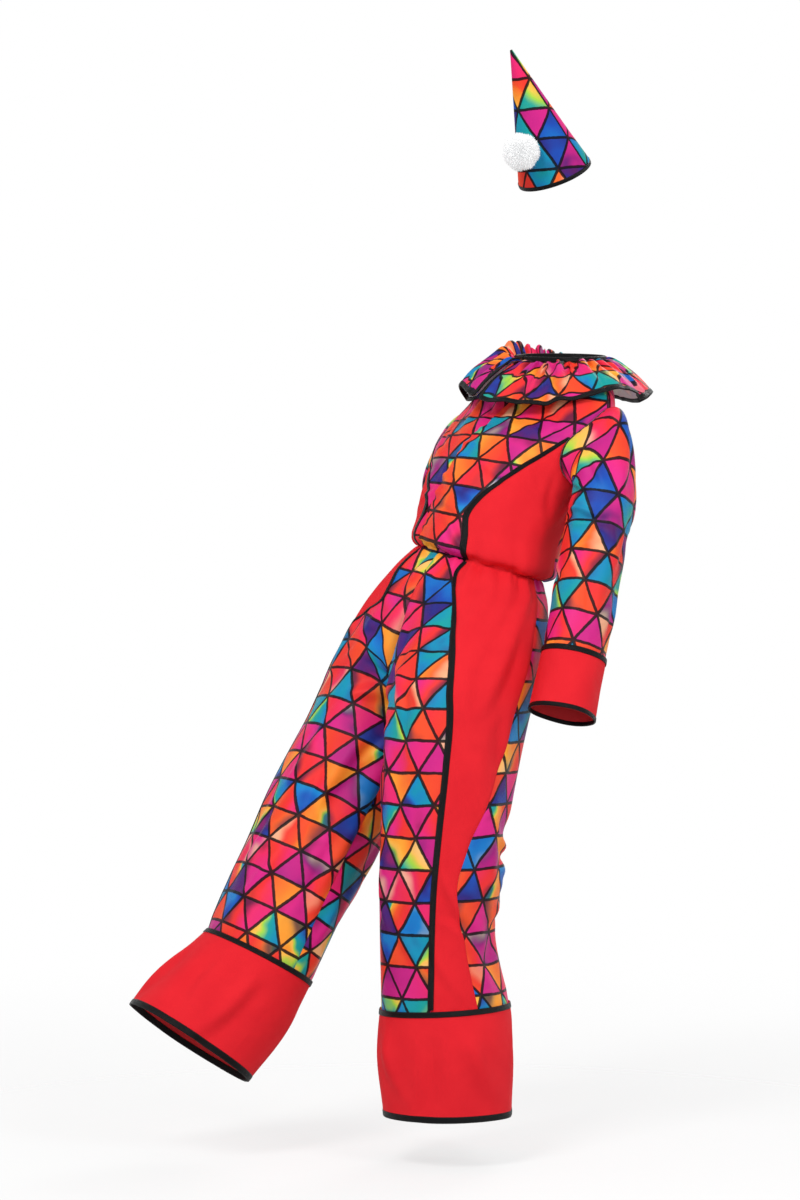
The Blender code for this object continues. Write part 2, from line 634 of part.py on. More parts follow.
def add_object(name, points, faces, finish):
    """A new object from points and faces, turned the right way out."""
    points = np.asarray(points, float)
    volume = 0.0
    for face in faces:
        first = points[face[0]]
        for second, third in zip(face[1:-1], face[2:]):
            volume += np.dot(first, np.cross(points[second], points[third]))
    if volume < 0:
        faces = [face[::-1] for face in faces]
    mesh = bpy.data.meshes.new(name)
    mesh.from_pydata(points.tolist(), [], faces)
    mesh.shade_smooth()
    mesh.set_sharp_from_angle(angle=math.radians(50))
    mesh.materials.append(material(finish))
    made = bpy.data.objects.new(name, mesh)
    bpy.context.scene.collection.objects.link(made)
    return made


def grid_wall(name, outer, inner, finish, closed):
    """A closed wall between two grids of points of the same shape, open at both ends if it is a tube."""
    rows, columns = outer.shape[:2]
    last = columns if closed else columns - 1
    faces = []

    def index(side, row, column):
        return (side * rows + row) * columns + column % columns

    for row in range(rows - 1):
        for column in range(last):
            a = index(0, row, column)
            b = index(0, row, column + 1)
            c = index(0, row + 1, column + 1)
            d = index(0, row + 1, column)
            shift = rows * columns
            faces.append((a, b, c))
            faces.append((a, c, d))
            faces.append((c + shift, b + shift, a + shift))
            faces.append((d + shift, c + shift, a + shift))
    rims = []
    for column in range(last):
        rims.append(((0, column + 1), (0, column), False))
        rims.append(((rows - 1, column), (rows - 1, column + 1), True))
    if not closed:
        for row in range(rows - 1):
            rims.append(((row, 0), (row + 1, 0), True))
            rims.append(((row + 1, columns - 1), (row, columns - 1), False))
    for start, end, forward in rims:
        a, b = index(0, *start), index(0, *end)
        c, d = index(1, *end), index(1, *start)
        faces.extend([(a, b, c), (a, c, d)] if forward else [(a, b, d), (b, c, d)])
    points = np.concatenate([outer.reshape(-1, 3), inner.reshape(-1, 3)])
    return add_object(name, points, faces, finish)


def trimmed(points, closed=False):
    """The grid with each outer edge drawn in by half a seam's gap."""
    out = points.copy()
    half = SEAM / 2
    out[0] += half * unit(points[1] - points[0])
    out[-1] += half * unit(points[-2] - points[-1])
    if not closed:
        out[:, 0] += half * unit(points[:, 1] - points[:, 0])
        out[:, -1] += half * unit(points[:, -2] - points[:, -1])
    return out


def gathered(points, outwards, ways, still):
    """The grid with small elastic gathers beside the waist seam, one to every two columns.

    The columns named in still, at seams and in the lap, stay where they are.
    """
    near = 1 - ease(0.0, WAIST_GATHER_REACH, ways)
    swing = np.where(np.arange(points.shape[1]) % 2, 1.0, -1.0)
    swing[list(still)] = 0.0
    level = outwards * (1.0, 1.0, 0.0)
    level = level / np.maximum(np.linalg.norm(level, axis=-1, keepdims=True), 0.01)
    level[..., 2] = level[..., 0] * TRUNK[0].dip_left + level[..., 1] * TRUNK[0].dip_back
    return points + (WAIST_GATHER_HEIGHT * near * swing)[..., None] * level


def cloth(name, points, outwards, finish, closed=False):
    """A cloth wall whose outside is the grid of points."""
    outer = trimmed(points, closed)
    return grid_wall(name, outer, outer - WALL * outwards, finish, closed)


def tape_over(name, lines, outwards, short):
    """A tape over a seam, from the panels' own points: to the left of it, on it and to its right."""
    lines = np.stack(lines, axis=1)
    outwards = np.stack(outwards, axis=1)
    for end, near, cut in ((0, 1, short[0]), (-1, -2, short[1])):
        lines[end] += cut * unit(lines[near] - lines[end])
    base = lines + TAPE_LIFT * outwards
    return grid_wall(name, base + TAPE_WALL * outwards, base, BLACK_TAPE, False)


def columns_from_seam(count, turns_across, tape_turn):
    """Shares across a panel at each row, whose first column is at the tape's edge."""
    first = (tape_turn / np.abs(turns_across))[:, None]
    rest = np.linspace(0.0, 1.0, count)
    return np.concatenate([np.zeros_like(first), first + (1 - first) * rest], axis=1)


# ---------------------------------------------------------------- bodice


def armhole_below():
    """Turns of the armhole's lower edge, from the tape under the arm to the side seam."""
    below = SIDE_JOINS_ARMHOLE - 360.0
    rest = np.linspace(TAPE_JOINS_ARMHOLE - ARMHOLE_TAPE_TURN, below, COLUMNS_SIDE)
    return np.concatenate([[TAPE_JOINS_ARMHOLE], rest])


def bodice_rows():
    """Heights of the rows of the front's edge and of the back's edge, and the armhole turns between."""
    front_turns = np.linspace(TAPE_JOINS_ARMHOLE, 0.0, ROWS_ARMHOLE + 1)
    back_turns = np.linspace(SIDE_JOINS_ARMHOLE, 0.0, ROWS_ARMHOLE + 1)
    low = np.linspace(0.0, 1.0, ROWS_BELOW_ARMHOLE + 1) ** 1.15
    top = np.linspace(armhole(0.0)[1], 1.0, ROWS_SHOULDER + 1)
    front = np.concatenate([low[:-1] * armhole(TAPE_JOINS_ARMHOLE)[1], armhole(front_turns)[1], top[1:]])
    back = np.concatenate([low[:-1] * armhole(SIDE_JOINS_ARMHOLE)[1], armhole(back_turns)[1], top[1:]])
    return low, front_turns, back_turns, front, back


def front_edge():
    """Turns of the left front's outer edge at each row: tape line, armhole, shoulder seam."""
    low, turns, _, heights, _ = bodice_rows()
    corner, height = armhole(TAPE_JOINS_ARMHOLE)
    tape = along(BODICE_TAPE, "turn", heights[:ROWS_BELOW_ARMHOLE])
    tape = tape + (corner - along(BODICE_TAPE, "turn", height)) * low[:-1] ** 3
    top = np.linspace(armhole(0.0)[0], SHOULDER_TURN, ROWS_SHOULDER + 1)[1:]
    return np.concatenate([tape, armhole(turns)[0], top])


def back_edge():
    """Turns of the back's left edge at each row: side seam, armhole, shoulder seam."""
    low, _, turns, _, _ = bodice_rows()
    corner = armhole(SIDE_JOINS_ARMHOLE)[0]
    side = BODICE_SIDE_TURN_WAIST + (corner - BODICE_SIDE_TURN_WAIST) * low[:-1]
    top = np.linspace(armhole(0.0)[0], SHOULDER_TURN, ROWS_SHOULDER + 1)[1:]
    return np.concatenate([side, armhole(turns)[0], top])


def mirrored_turn(turn):
    """The same place on the wearer's other side."""
    return 180.0 - turn


def armhole_normals(turn, mirrored, sleeve):
    """Directions that halve the angle between the bodice and the sleeve at the armhole."""
    round_body, height = armhole(turn)
    if mirrored:
        round_body = mirrored_turn(round_body)
    body = normals(trunk, round_body, height)
    arm = normals(sleeve, turn, np.zeros_like(turn) + 0.004)
    arm = arm if mirrored else -arm
    middle = unit(body + arm)
    return middle / np.maximum(np.sum(middle * body, axis=-1, keepdims=True), 0.75)


def build_bodice(sleeves):
    """Fronts, sides, back and the tapes on the curved front seams."""
    low, front_turns, back_turns, front_heights, back_heights = bodice_rows()
    edge, rear = front_edge(), back_edge()
    first = ROWS_BELOW_ARMHOLE
    last = first + ROWS_ARMHOLE + 1
    for side, mirrored in (("left", False), ("right", True)):
        surface = trunk_underlap if mirrored else trunk
        opening = along(BODICE_LAP, "turn", front_heights) + (UNDERLAP_TURN if mirrored else 0.0)
        outer_edge = -180.0 - edge if mirrored else edge
        share = 1 - columns_from_seam(COLUMNS_FRONT, outer_edge - opening, BODICE_TAPE_TURN)[:, ::-1]
        turns = opening[:, None] + (outer_edge - opening)[:, None] * share
        heights = np.repeat(front_heights[:, None], COLUMNS_FRONT + 1, axis=1)
        front_out = normals(trunk, turns, heights)
        front = gathered(surface(turns, heights), front_out, heights, (0, 1, 2, 3, -2, -1))
        if not mirrored:
            pucker = LAP_PUCKER_HEIGHT * (np.arange(len(heights)) % 2) * (1 - ease(0.80, 0.95, front_heights))
            front[:, :2] += pucker[:, None, None] * front_out[:, :2]
        tape_out = front_out.copy()
        front_out[first:last, -1] = armhole_normals(front_turns, mirrored, sleeves[side])
        cloth(f"bodice_front_{side}", front, front_out, PRINT_CLOTH)

        panel_turns, panel_heights = side_panel_grid(low, edge, rear, front_heights, back_heights)
        if mirrored:
            panel_turns = mirrored_turn(panel_turns)
        panel_out = normals(trunk, panel_turns, panel_heights)
        panel = gathered(trunk(panel_turns, panel_heights), panel_out, panel_heights, (0, 1, -1))
        panel_tape_out = panel_out[:, 1].copy()
        panel_out[-1] = armhole_normals(armhole_below(), mirrored, sleeves[side])
        cloth(f"bodice_side_{side}", panel, panel_out, RED_CLOTH)

        seam = slice(0, first + 1)
        lines = (front[seam, -2], front[seam, -1], panel[:, 1])
        ways = (tape_out[seam, -2], tape_out[seam, -1], panel_tape_out)
        tape_over(f"bodice_tape_{side}", lines, ways, BODICE_TAPE_SHORT)

    share = np.linspace(0.0, 1.0, COLUMNS_BACK + 1)
    turns = rear[:, None] + (mirrored_turn(rear) - rear)[:, None] * share
    heights = np.repeat(back_heights[:, None], COLUMNS_BACK + 1, axis=1)
    back_out = normals(trunk, turns, heights)
    back_out[first:last, 0] = armhole_normals(back_turns, False, sleeves["left"])
    back_out[first:last, -1] = armhole_normals(back_turns, True, sleeves["right"])
    back = gathered(trunk(turns, heights), back_out, heights, (0, -1))
    cloth("bodice_back", back, back_out, PRINT_CLOTH)


def side_panel_grid(low, edge, rear, front_heights, back_heights):
    """Turns and heights of the left side panel, from the waist seam up to the armhole."""
    count = ROWS_BELOW_ARMHOLE + 1
    across = columns_from_seam(COLUMNS_SIDE, (rear - edge)[:count], BODICE_TAPE_TURN)
    top_turn, top_height = armhole(armhole_below())
    grids = []
    for left, right, top in (
        (edge[:count], rear[:count], top_turn),
        (front_heights[:count], back_heights[:count], top_height),
    ):
        straight = left[:, None] + (right - left)[:, None] * across
        sag = top - (left[-1] + (right[-1] - left[-1]) * across[-1])
        grids.append(straight + low[:, None] * sag)
    return grids


# ---------------------------------------------------------------- sleeves


def armhole_columns():
    """Turns round a sleeve that fall on the points of the armhole's edge."""
    front = np.linspace(TAPE_JOINS_ARMHOLE, 0.0, ROWS_ARMHOLE + 1)
    back = np.linspace(0.0, SIDE_JOINS_ARMHOLE, ROWS_ARMHOLE + 1)
    under = armhole_below()[::-1] + 360.0
    return np.concatenate([front, back[1:], under[1:-1]])


def build_sleeve(side, mirrored, surface, cuff):
    """A sleeve with its cuff, the tape on the cuff's seam and the hem's binding."""
    turns = armhole_columns()
    turns = np.where(turns > 180.0, turns - 360.0, turns)
    rows = np.linspace(0.0, 1.0, SLEEVE_ROWS + 1) ** 1.1
    grid_turns, grid_rows = np.meshgrid(turns, rows)
    sign = 1.0 if mirrored else -1.0
    points = surface(grid_turns, grid_rows)
    outwards = sign * normals(surface, grid_turns, grid_rows)
    outwards[0] = armhole_normals(turns, mirrored, surface)
    cloth(f"sleeve_{side}", points, outwards, PRINT_CLOTH, closed=True)

    rows = np.linspace(0.0, 1.0, SLEEVE_CUFF_ROWS + 1)
    grid_turns, grid_rows = np.meshgrid(turns, rows)
    points = cuff(grid_turns, grid_rows)
    outwards = sign * normals(cuff, grid_turns, grid_rows)
    cloth(f"sleeve_cuff_{side}", points, outwards, RED_CLOTH, closed=True)
    cuff_trim(f"sleeve_cuff_tape_{side}", points, outwards, CUFF_TAPE_WIDTH)
    hem_trim(f"sleeve_hem_binding_{side}", points, outwards, SLEEVE_BINDING_WIDTH)


def cuff_trim(name, points, outwards, width):
    """A tape round the top edge of a cuff."""
    down = unit(points[1] - points[0])
    base = np.stack([points[0], points[0] + width * down]) + TAPE_LIFT * outwards[:1]
    grid_wall(name, base + TAPE_WALL * outwards[:1], base, BLACK_TAPE, True)


def hem_trim(name, points, outwards, width):
    """A binding that goes on from a cuff's lower edge."""
    down = unit(points[-1] - points[-2])
    start = points[-1] + SEAM * down
    middle = np.stack([start, start + width * down]) - WALL / 2 * outwards[-1:]
    half = BINDING_WALL / 2 * outwards[-1:]
    grid_wall(name, middle + half, middle - half, BLACK_TAPE, True)


# ---------------------------------------------------------------- trousers


def middle_seam_normals(surface, turn, rows, sign):
    """Directions out of the cloth along the centre seam, at the crotch, and down the inseam."""
    inside = math.copysign(179.4, turn)
    own = sign * normals(surface, np.full_like(rows, inside), rows)
    other = sign * normals(surface, np.full_like(rows, -inside), rows)
    above = rows < CROTCH - 1e-6
    own[above, 0] = 0.0
    both = own + other
    both[np.abs(rows - CROTCH) < 1e-6] = (0.7 * sign, 0.0, -0.7)
    return unit(np.where(above[:, None], own, both))


def build_trouser_leg(side, mirrored, surface, seams, cuff):
    """Front, side and back of one trouser leg, its seam tape, its cuff, and the cuff's trims."""
    above = np.linspace(0.0, CROTCH, LEG_ROWS_ABOVE_CROTCH + 1)
    below = np.linspace(CROTCH, 1.0, LEG_ROWS_BELOW_CROTCH + 1)
    rows = np.concatenate([above, below[1:]])
    sign = 1.0 if mirrored else -1.0
    tape, rear = along(seams, "tape", rows), along(seams, "side", rows)
    ends = {
        "front": (np.full_like(rows, -180.0), tape, COLUMNS_LEG_FRONT, PRINT_CLOTH),
        "side": (tape, rear, COLUMNS_LEG_SIDE, RED_CLOTH),
        "back": (rear, np.full_like(rows, 180.0), COLUMNS_LEG_BACK, PRINT_CLOTH),
    }
    made, hem_turns = {}, []
    for piece, (start, end, columns, finish) in ends.items():
        share = np.tile(np.linspace(0.0, 1.0, columns + 1), (len(rows), 1))
        if piece == "front":
            share = 1 - columns_from_seam(columns, end - start, LEG_TAPE_TURN)[:, ::-1]
        if piece == "side":
            share = columns_from_seam(columns, end - start, LEG_TAPE_TURN)
        turns = start[:, None] + (end - start)[:, None] * share
        heights = np.repeat(rows[:, None], columns + 1, axis=1)
        points = surface(turns, heights)
        outwards = sign * normals(surface, turns, heights)
        still = {"front": (0, -2, -1), "side": (0, 1, -1), "back": (0, -1)}[piece]
        if piece != "side":
            edge = 0 if piece == "front" else -1
            outwards[:, edge] = middle_seam_normals(surface, turns[0, edge], rows, sign)
        points = gathered(points, outwards, heights, still)
        made[piece] = (points, outwards)
        hem_turns.append(turns[-1])
        cloth(f"trouser_{piece}_{side}", points, outwards, finish)
    (front, front_out), (panel, panel_out) = made["front"], made["side"]
    lines = (front[:, -2], front[:, -1], panel[:, 1])
    ways = (front_out[:, -2], front_out[:, -1], panel_out[:, 1])
    tape_over(f"trouser_tape_{side}", lines, ways, LEG_TAPE_SHORT)

    turns = np.concatenate([end[:-1] for end in hem_turns])
    grid_turns, grid_rows = np.meshgrid(turns, np.linspace(0.0, 1.0, LEG_CUFF_ROWS + 1))
    points = cuff(grid_turns, grid_rows)
    outwards = sign * normals(cuff, grid_turns, grid_rows)
    cloth(f"trouser_cuff_{side}", points, outwards, RED_CLOTH, closed=True)
    cuff_trim(f"trouser_cuff_tape_{side}", points, outwards, CUFF_TAPE_WIDTH)
    hem_trim(f"trouser_hem_binding_{side}", points, outwards, TROUSER_BINDING_WIDTH)


# ---------------------------------------------------------------- collar


def collar_turns():
    """Turns of the ruffle's columns, all round from one side of its opening to the other."""
    start = COLLAR_OPENING_TURN + COLLAR_OPENING_GAP
    end = COLLAR_OPENING_TURN + 360.0 - COLLAR_OPENING_GAP
    return np.linspace(start, end, COLLAR_COLUMNS + 1)


def build_collar():
    """The ruffle, the binding of its outer edge and the binding of the neck."""
    turns, rows = np.meshgrid(collar_turns(), COLLAR_ROWS)
    points = collar_surface(turns, rows)
    outwards = -normals(collar_surface, turns, rows)
    cloth("collar_ruffle", points, outwards, PRINT_CLOTH)

    down = unit(points[-1] - points[-2])
    start = points[-1] + SEAM * down
    middle = np.stack([start, start + COLLAR_BINDING_WIDTH * down]) - WALL / 2 * outwards[-1:]
    half = BINDING_WALL / 2 * outwards[-1:]
    grid_wall("collar_edge_binding", middle + half, middle - half, BLACK_TAPE, False)

    turns = collar_turns()[:: COLLAR_COLUMNS // NECK_BINDING_COLUMNS]
    angle = np.radians(turns)
    heights = NECK_BINDING_LOW + np.array([0.0, NECK_BINDING_HEIGHT])[:, None]
    outer_x, outer_y = COLLAR_NECK_X + WALL / 2, COLLAR_NECK_Y + WALL / 2
    x, y = outer_x * np.cos(angle), outer_y * np.sin(angle)
    outer = stack(x, y, heights + neck_tilt(x, y))
    inner_x, inner_y = outer_x - NECK_BINDING_WALL, outer_y - NECK_BINDING_WALL
    inner = stack(inner_x * np.cos(angle), inner_y * np.sin(angle), heights + neck_tilt(x, y))
    grid_wall("neck_binding", outer, inner, BLACK_TAPE, False)


# ---------------------------------------------------------------- hat


def hat_frame():
    """The hat's base centre, its height, and directions up its axis, ahead and to its left."""
    base, apex = np.array(HAT_BASE), np.array(HAT_APEX)
    height = np.linalg.norm(apex - base)
    up = (apex - base) / height
    left = np.array([1.0, 0.0, 0.0])
    left = unit(left - up * np.dot(left, up))
    back = np.cross(up, left)
    return base, height, up, left, back


def hat_points(turn, rise, spread=0.0):
    """Points on the cone: rise runs from 0 at its base to 1 at its tip."""
    base, height, up, left, back = hat_frame()
    angle = np.radians(turn)[..., None]
    radius = (HAT_RADIUS + (HAT_TIP_RADIUS - HAT_RADIUS) * rise + spread)[..., None]
    return base + (height * rise)[..., None] * up + radius * (np.cos(angle) * left + np.sin(angle) * back)


def build_hat():
    """The cone, the binding of its base and the pompom on its front."""
    turns = np.linspace(-180.0, 180.0, HAT_COLUMNS, endpoint=False)
    grid_turns, grid_rows = np.meshgrid(turns, np.linspace(0.0, 1.0, HAT_ROWS + 1))
    outer = hat_points(grid_turns, grid_rows)
    inner = hat_points(grid_turns, grid_rows, -WALL)
    grid_wall("hat_cone", outer, inner, PRINT_CLOTH, True)

    _, height, up, _, _ = hat_frame()
    edge = hat_points(turns, np.zeros_like(turns), (BINDING_WALL - WALL) / 2)
    start = edge - SEAM * up
    lower = edge - (SEAM + HAT_BINDING_WIDTH) * up
    inward = unit(np.array(HAT_BASE) - edge) * BINDING_WALL
    ring = np.stack([start, lower])
    grid_wall("hat_edge_binding", ring, ring + inward, BLACK_TAPE, True)

    turn = np.array(POMPOM_TURN)
    rise = np.array(POMPOM_RISE / height)
    seat = hat_points(turn, rise)
    out = -normals(hat_points, turn, rise)
    out = out if np.dot(out, seat - np.array(HAT_BASE)) > 0 else -out
    build_pompom(seat + (POMPOM_RADIUS - POMPOM_SINK) * out)


def build_pompom(centre):
    """A ball of yarn locks, each of three sides, that stand on one core."""
    shape = bmesh.new()
    bmesh.ops.create_icosphere(shape, subdivisions=2, radius=POMPOM_RADIUS * POMPOM_CORE)
    corners = np.array([v.co[:] for v in shape.verts])
    triangles = [tuple(v.index for v in face.verts) for face in shape.faces]
    shape.free()
    points = [centre + corner for corner in corners]
    faces = []
    for number, triangle in enumerate(triangles):
        middle = np.mean([corners[i] for i in triangle], axis=0)
        away = middle / np.linalg.norm(middle)
        uneven = 0.93 + 0.07 * math.sin(2.4 * number)
        first = len(points)
        for corner in triangle:
            ring = corners[corner] * 0.86 + middle * 0.14
            points.append(centre + ring + away * (0.10 * POMPOM_RADIUS))
        tip = centre + away * POMPOM_RADIUS * uneven
        points.append(tip)
        top = first + 3
        for step in range(3):
            after = (step + 1) % 3
            a, b = triangle[step], triangle[after]
            faces.append((a, b, first + after))
            faces.append((a, first + after, first + step))
            faces.append((first + step, first + after, top))
    add_object("pompom", points, faces, WHITE_YARN)


# ---------------------------------------------------------------- the whole costume


def main():
    """Clears the scene and makes every piece."""
    for thing in list(bpy.data.objects):
        bpy.data.objects.remove(thing, do_unlink=True)
    sleeve_tables = {"left": (SLEEVE_LEFT, False), "right": (SLEEVE_RIGHT, True)}
    sleeves = {side: sleeve_surface(*row) for side, row in sleeve_tables.items()}
    build_bodice(sleeves)
    for side, (table, mirrored) in sleeve_tables.items():
        build_sleeve(side, mirrored, sleeves[side], sleeve_cuff_surface(table, mirrored))
    for side, mirrored, leg, creases, seams, cuff in (
        ("left", False, LEG_LEFT, LEG_FOLDS_LEFT, LEG_SEAMS_LEFT, LEG_CUFF_LEFT),
        ("right", True, LEG_RIGHT, LEG_FOLDS_RIGHT, LEG_SEAMS_RIGHT, LEG_CUFF_RIGHT),
    ):
        surface = trouser_surface(leg, creases, mirrored)
        build_trouser_leg(side, mirrored, surface, seams, cuff_surface(cuff, mirrored))
    build_collar()
    build_hat()


main()
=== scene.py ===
"""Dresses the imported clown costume: a one-piece suit with a ruffled collar, and its cone hat.

Metres. +Z is up, the wearer faces -Y and the wearer's left is +X. The origin is the middle of the
neck opening. Every cloth piece is a thin shell on the form of its solid, with its folds, gathers,
seams and cut, and stands for that solid.
"""

import logging
import math
from dataclasses import dataclass, replace
from enum import Enum
from typing import Callable, NamedTuple, Sequence

import bpy
import numpy as np
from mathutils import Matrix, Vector


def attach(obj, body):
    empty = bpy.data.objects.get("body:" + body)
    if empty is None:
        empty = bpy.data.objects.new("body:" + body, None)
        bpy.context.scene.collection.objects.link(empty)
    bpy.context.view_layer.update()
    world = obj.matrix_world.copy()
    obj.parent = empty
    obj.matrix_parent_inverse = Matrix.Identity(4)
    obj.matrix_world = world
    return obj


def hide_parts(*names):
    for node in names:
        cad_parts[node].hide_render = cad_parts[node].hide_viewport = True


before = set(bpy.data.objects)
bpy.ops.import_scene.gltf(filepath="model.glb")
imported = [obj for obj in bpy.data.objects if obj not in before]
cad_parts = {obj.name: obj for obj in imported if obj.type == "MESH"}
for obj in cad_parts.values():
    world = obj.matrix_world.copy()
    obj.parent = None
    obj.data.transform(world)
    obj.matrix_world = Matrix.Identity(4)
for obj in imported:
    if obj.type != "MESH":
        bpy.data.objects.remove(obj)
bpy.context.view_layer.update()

log = logging.getLogger("clown_costume")
Array = np.ndarray
Surface = Callable[[Array, Array], Array]
Pair = tuple[float, float]
Triple = tuple[float, float, float]
Material = bpy.types.Material
Socket = bpy.types.NodeSocket
Solid = bpy.types.Object

# ---- sizes shared by several pieces

BODY = "root"
MM = 0.001
# The gap of a seam, the walls of cloths and trims, and how far a tape lies off its cloth.
SEAM = 0.0003
CLOTH_WALL = 0.0009
RUFFLE_WALL = 0.0006
TAPE_WALL = 0.0009
TAPE_LIFT = 0.0003
# The width of a flat tape's cut, with the margins that are turned under, as a share of its own width.
TAPE_MARGINS = 1.3
BINDING_WALL = 0.0024
# How far a binding reaches over the edge that it holds.
BINDING_GRIP = 0.0008
# Width of the narrow tape and binding.
NARROW_TAPE = 0.0075
# Edges sharper than this, in degrees, stay sharp.
SHARP_ANGLE = 65
# The least share of its rectangle that a cut fills, and what of its area is given, so that rounding
# never takes it over the rectangle.
LEAST_CUT = 0.31
# Rows and columns of the grid on which a panel is laid flat, and how much of a fold's rise it takes.
FLAT_ROWS, FLAT_COLUMNS = 61, 73
FLAT_RISE = 0.35
# How uneven gathers are: their places and widths in pitches, their depths and reaches in shares, and
# their slant in degrees to a metre. They start a little way from the seam, on a swell of the cloth.
GATHER_PLACE = 0.28
GATHER_WIDTH = (0.22, 0.4)
GATHER_DEPTH = (0.45, 1.25)
GATHER_REACH = (0.35, 1.5)
GATHER_SLANT = 90.0
GATHER_START = 0.003
GATHER_SWELL = 0.4


class Side(Enum):
    """Which of the wearer's sides a piece is on, with its sign along X.

    On a sleeve or a leg, turns crossed with the way down point in on the left and out on the right.
    """

    LEFT = 1.0
    RIGHT = -1.0

    @property
    def word(self) -> str:
        """The side's name as the nodes spell it."""
        return self.name.lower()

    def turned(self, turn: Array) -> Array:
        """A turn of the left half of the body, on this side."""
        return 180.0 - turn if self is Side.RIGHT else turn


class Held(Enum):
    """How a piece of cloth is held."""

    HUNG = "hung"
    GATHERED = "gathered"
    STRETCHED = "stretched"


# ---- curves and small helpers


def ease(low: float, high: float, at: Array) -> Array:
    """0 below low, 1 above high, and a smooth rise between them."""
    t = np.clip((at - low) / (high - low), 0.0, 1.0)
    return t * t * (3 - 2 * t)


def shares(count: int) -> Array:
    """Shares of a whole from 0 to 1, in that many steps."""
    return np.linspace(0.0, 1.0, count + 1)


def bump(at: Array, centre: float, spread: float) -> Array:
    """A soft ridge of height 1 at its centre, gone at about twice its spread."""
    return np.exp(-(((at - centre) / spread) ** 2))


def turn_between(turn: Array, centre: float) -> Array:
    """The turn from centre to turn, in degrees from -180 to 180."""
    return (turn - centre + 180.0) % 360.0 - 180.0


def unit(vectors: Array) -> Array:
    """The vectors at length 1."""
    return vectors / np.maximum(np.linalg.norm(vectors, axis=-1, keepdims=True), 1e-12)


def stack(x: Array, y: Array, z: Array) -> Array:
    """Three arrays of coordinates as one array of points."""
    return np.stack(np.broadcast_arrays(x, y, z), axis=-1)


def superellipse(angle: Array, square: Array) -> tuple[Array, Array]:
    """Sideways and forward shares of a section, rounder at 2 and squarer above it."""
    cos, sin = np.cos(angle), np.sin(angle)
    size = (np.abs(cos) ** square + np.abs(sin) ** square) ** (1 / square)
    return cos / size, sin / size


def normals(surface: Surface, turn: Array, way: Array) -> Array:
    """Unit normals of a surface by finite differences.

    Args:
        surface: gives points for turns and ways.
        turn: turns in degrees.
        way: ways along the surface, which are held between 0 and 1.

    Returns:
        The normals, on the side that the surface's coordinates give.
    """
    d_turn, d_way = 0.5, 0.004
    way = np.clip(way, 0.0, 1.0)
    round_it = surface(turn + d_turn, way) - surface(turn - d_turn, way)
    down_it = surface(turn, way + d_way) - surface(turn, way - d_way)
    return unit(np.cross(round_it, down_it))


def neck_tilt(x: Array, y: Array) -> Array:
    """How much higher than its middle the neck opening is at a place."""
    return -0.09 * x + 0.075 * y


def laid_flat(plain: Surface, turn: Array, way: Array, middle: float, points: Array) -> Array:
    """Places of a panel's points on its cloth, in metres across and up its grain.

    Args:
        plain: the smooth form that the panel lies on.
        turn: turns of its points.
        way: their ways along the form.
        middle: the turn at which the grain runs straight along the form.
        points: the points themselves, whose folds carry the print a little up or down.

    Returns:
        The places, the last axis holding both.
    """
    turn, way = np.broadcast_arrays(turn, way)
    turns = np.linspace(min(turn.min(), middle), max(turn.max(), middle), FLAT_COLUMNS)
    ways = np.linspace(way.min(), way.max(), FLAT_ROWS)
    across = lengths(plain(turns[None, :], ways[:, None]), 1)
    across = across - np.array([np.interp(middle, turns, row) for row in across])[:, None]
    column = np.clip((turn - turns[0]) / (turns[1] - turns[0]), 0.0, FLAT_COLUMNS - 1.001)
    row = np.clip((way - ways[0]) / (ways[1] - ways[0]), 0.0, FLAT_ROWS - 1.001)
    left, low = column.astype(int), row.astype(int)
    a, b = column - left, row - low
    place = ((1 - b) * ((1 - a) * across[low, left] + a * across[low, left + 1])
             + b * ((1 - a) * across[low + 1, left] + a * across[low + 1, left + 1]))
    line = plain(np.full_like(ways, middle), ways)
    up = np.interp(way, ways, lengths(line, 0) * np.sign(line[-1, 2] - line[0, 2]))
    rise = ((points - plain(turn, way)) * normals(plain, turn, way)).sum(axis=-1)
    return np.stack([place, up + FLAT_RISE * rise], axis=-1)


def lengths(points: Array, axis: int) -> Array:
    """Running length of cloth along one axis of a grid of points, from 0."""
    steps = np.linalg.norm(np.diff(points, axis=axis), axis=-1)
    start = np.zeros_like(np.take(steps, [0], axis=axis))
    return np.concatenate([start, np.cumsum(steps, axis=axis)], axis=axis)


def hermite(t: Array, start: Array, leaves: Array, end: Array, arrives: Array) -> Array:
    """A curve from start, at t = 0, to end, at t = 1, with its slopes there."""
    first = (1 + 2 * t) * (1 - t) ** 2 * start + t * (1 - t) ** 2 * leaves
    return first + t**2 * (3 - 2 * t) * end + t**2 * (t - 1) * arrives


def greatest_lengths(points: Array) -> Pair:
    """The greatest running lengths of a grid, along its rows and down its columns."""
    return float(lengths(points, 1)[:, -1].max()), float(lengths(points, 0)[-1].max())


@dataclass(frozen=True)
class Stations:
    """Sections along a piece: named columns, read as smooth curves of the first column."""

    columns: str
    rows: tuple[tuple[float, ...], ...]

    def at(self, column: str, way: Array) -> Array:
        """One column's values.

        Args:
            column: the column's name.
            way: values of the first column.

        Returns:
            The column there, held at its ends.
        """
        place = self.columns.split().index(column)
        knots = np.array([row[0] for row in self.rows])
        values = np.array([row[place] for row in self.rows])
        slopes = np.gradient(values, knots)
        way = np.clip(way, knots[0], knots[-1])
        cell = np.clip(np.searchsorted(knots, way, side="right") - 1, 0, len(knots) - 2)
        width = knots[cell + 1] - knots[cell]
        return hermite((way - knots[cell]) / width, values[cell], width * slopes[cell],
                       values[cell + 1], width * slopes[cell + 1])


class Fold(NamedTuple):
    """One fold: where it is, the angle it runs at, its half-length, half-width and height in mm, its bend."""

    turn: float
    at: float
    angle: float
    length: float
    width: float
    depth: float
    bend: float = 0.0


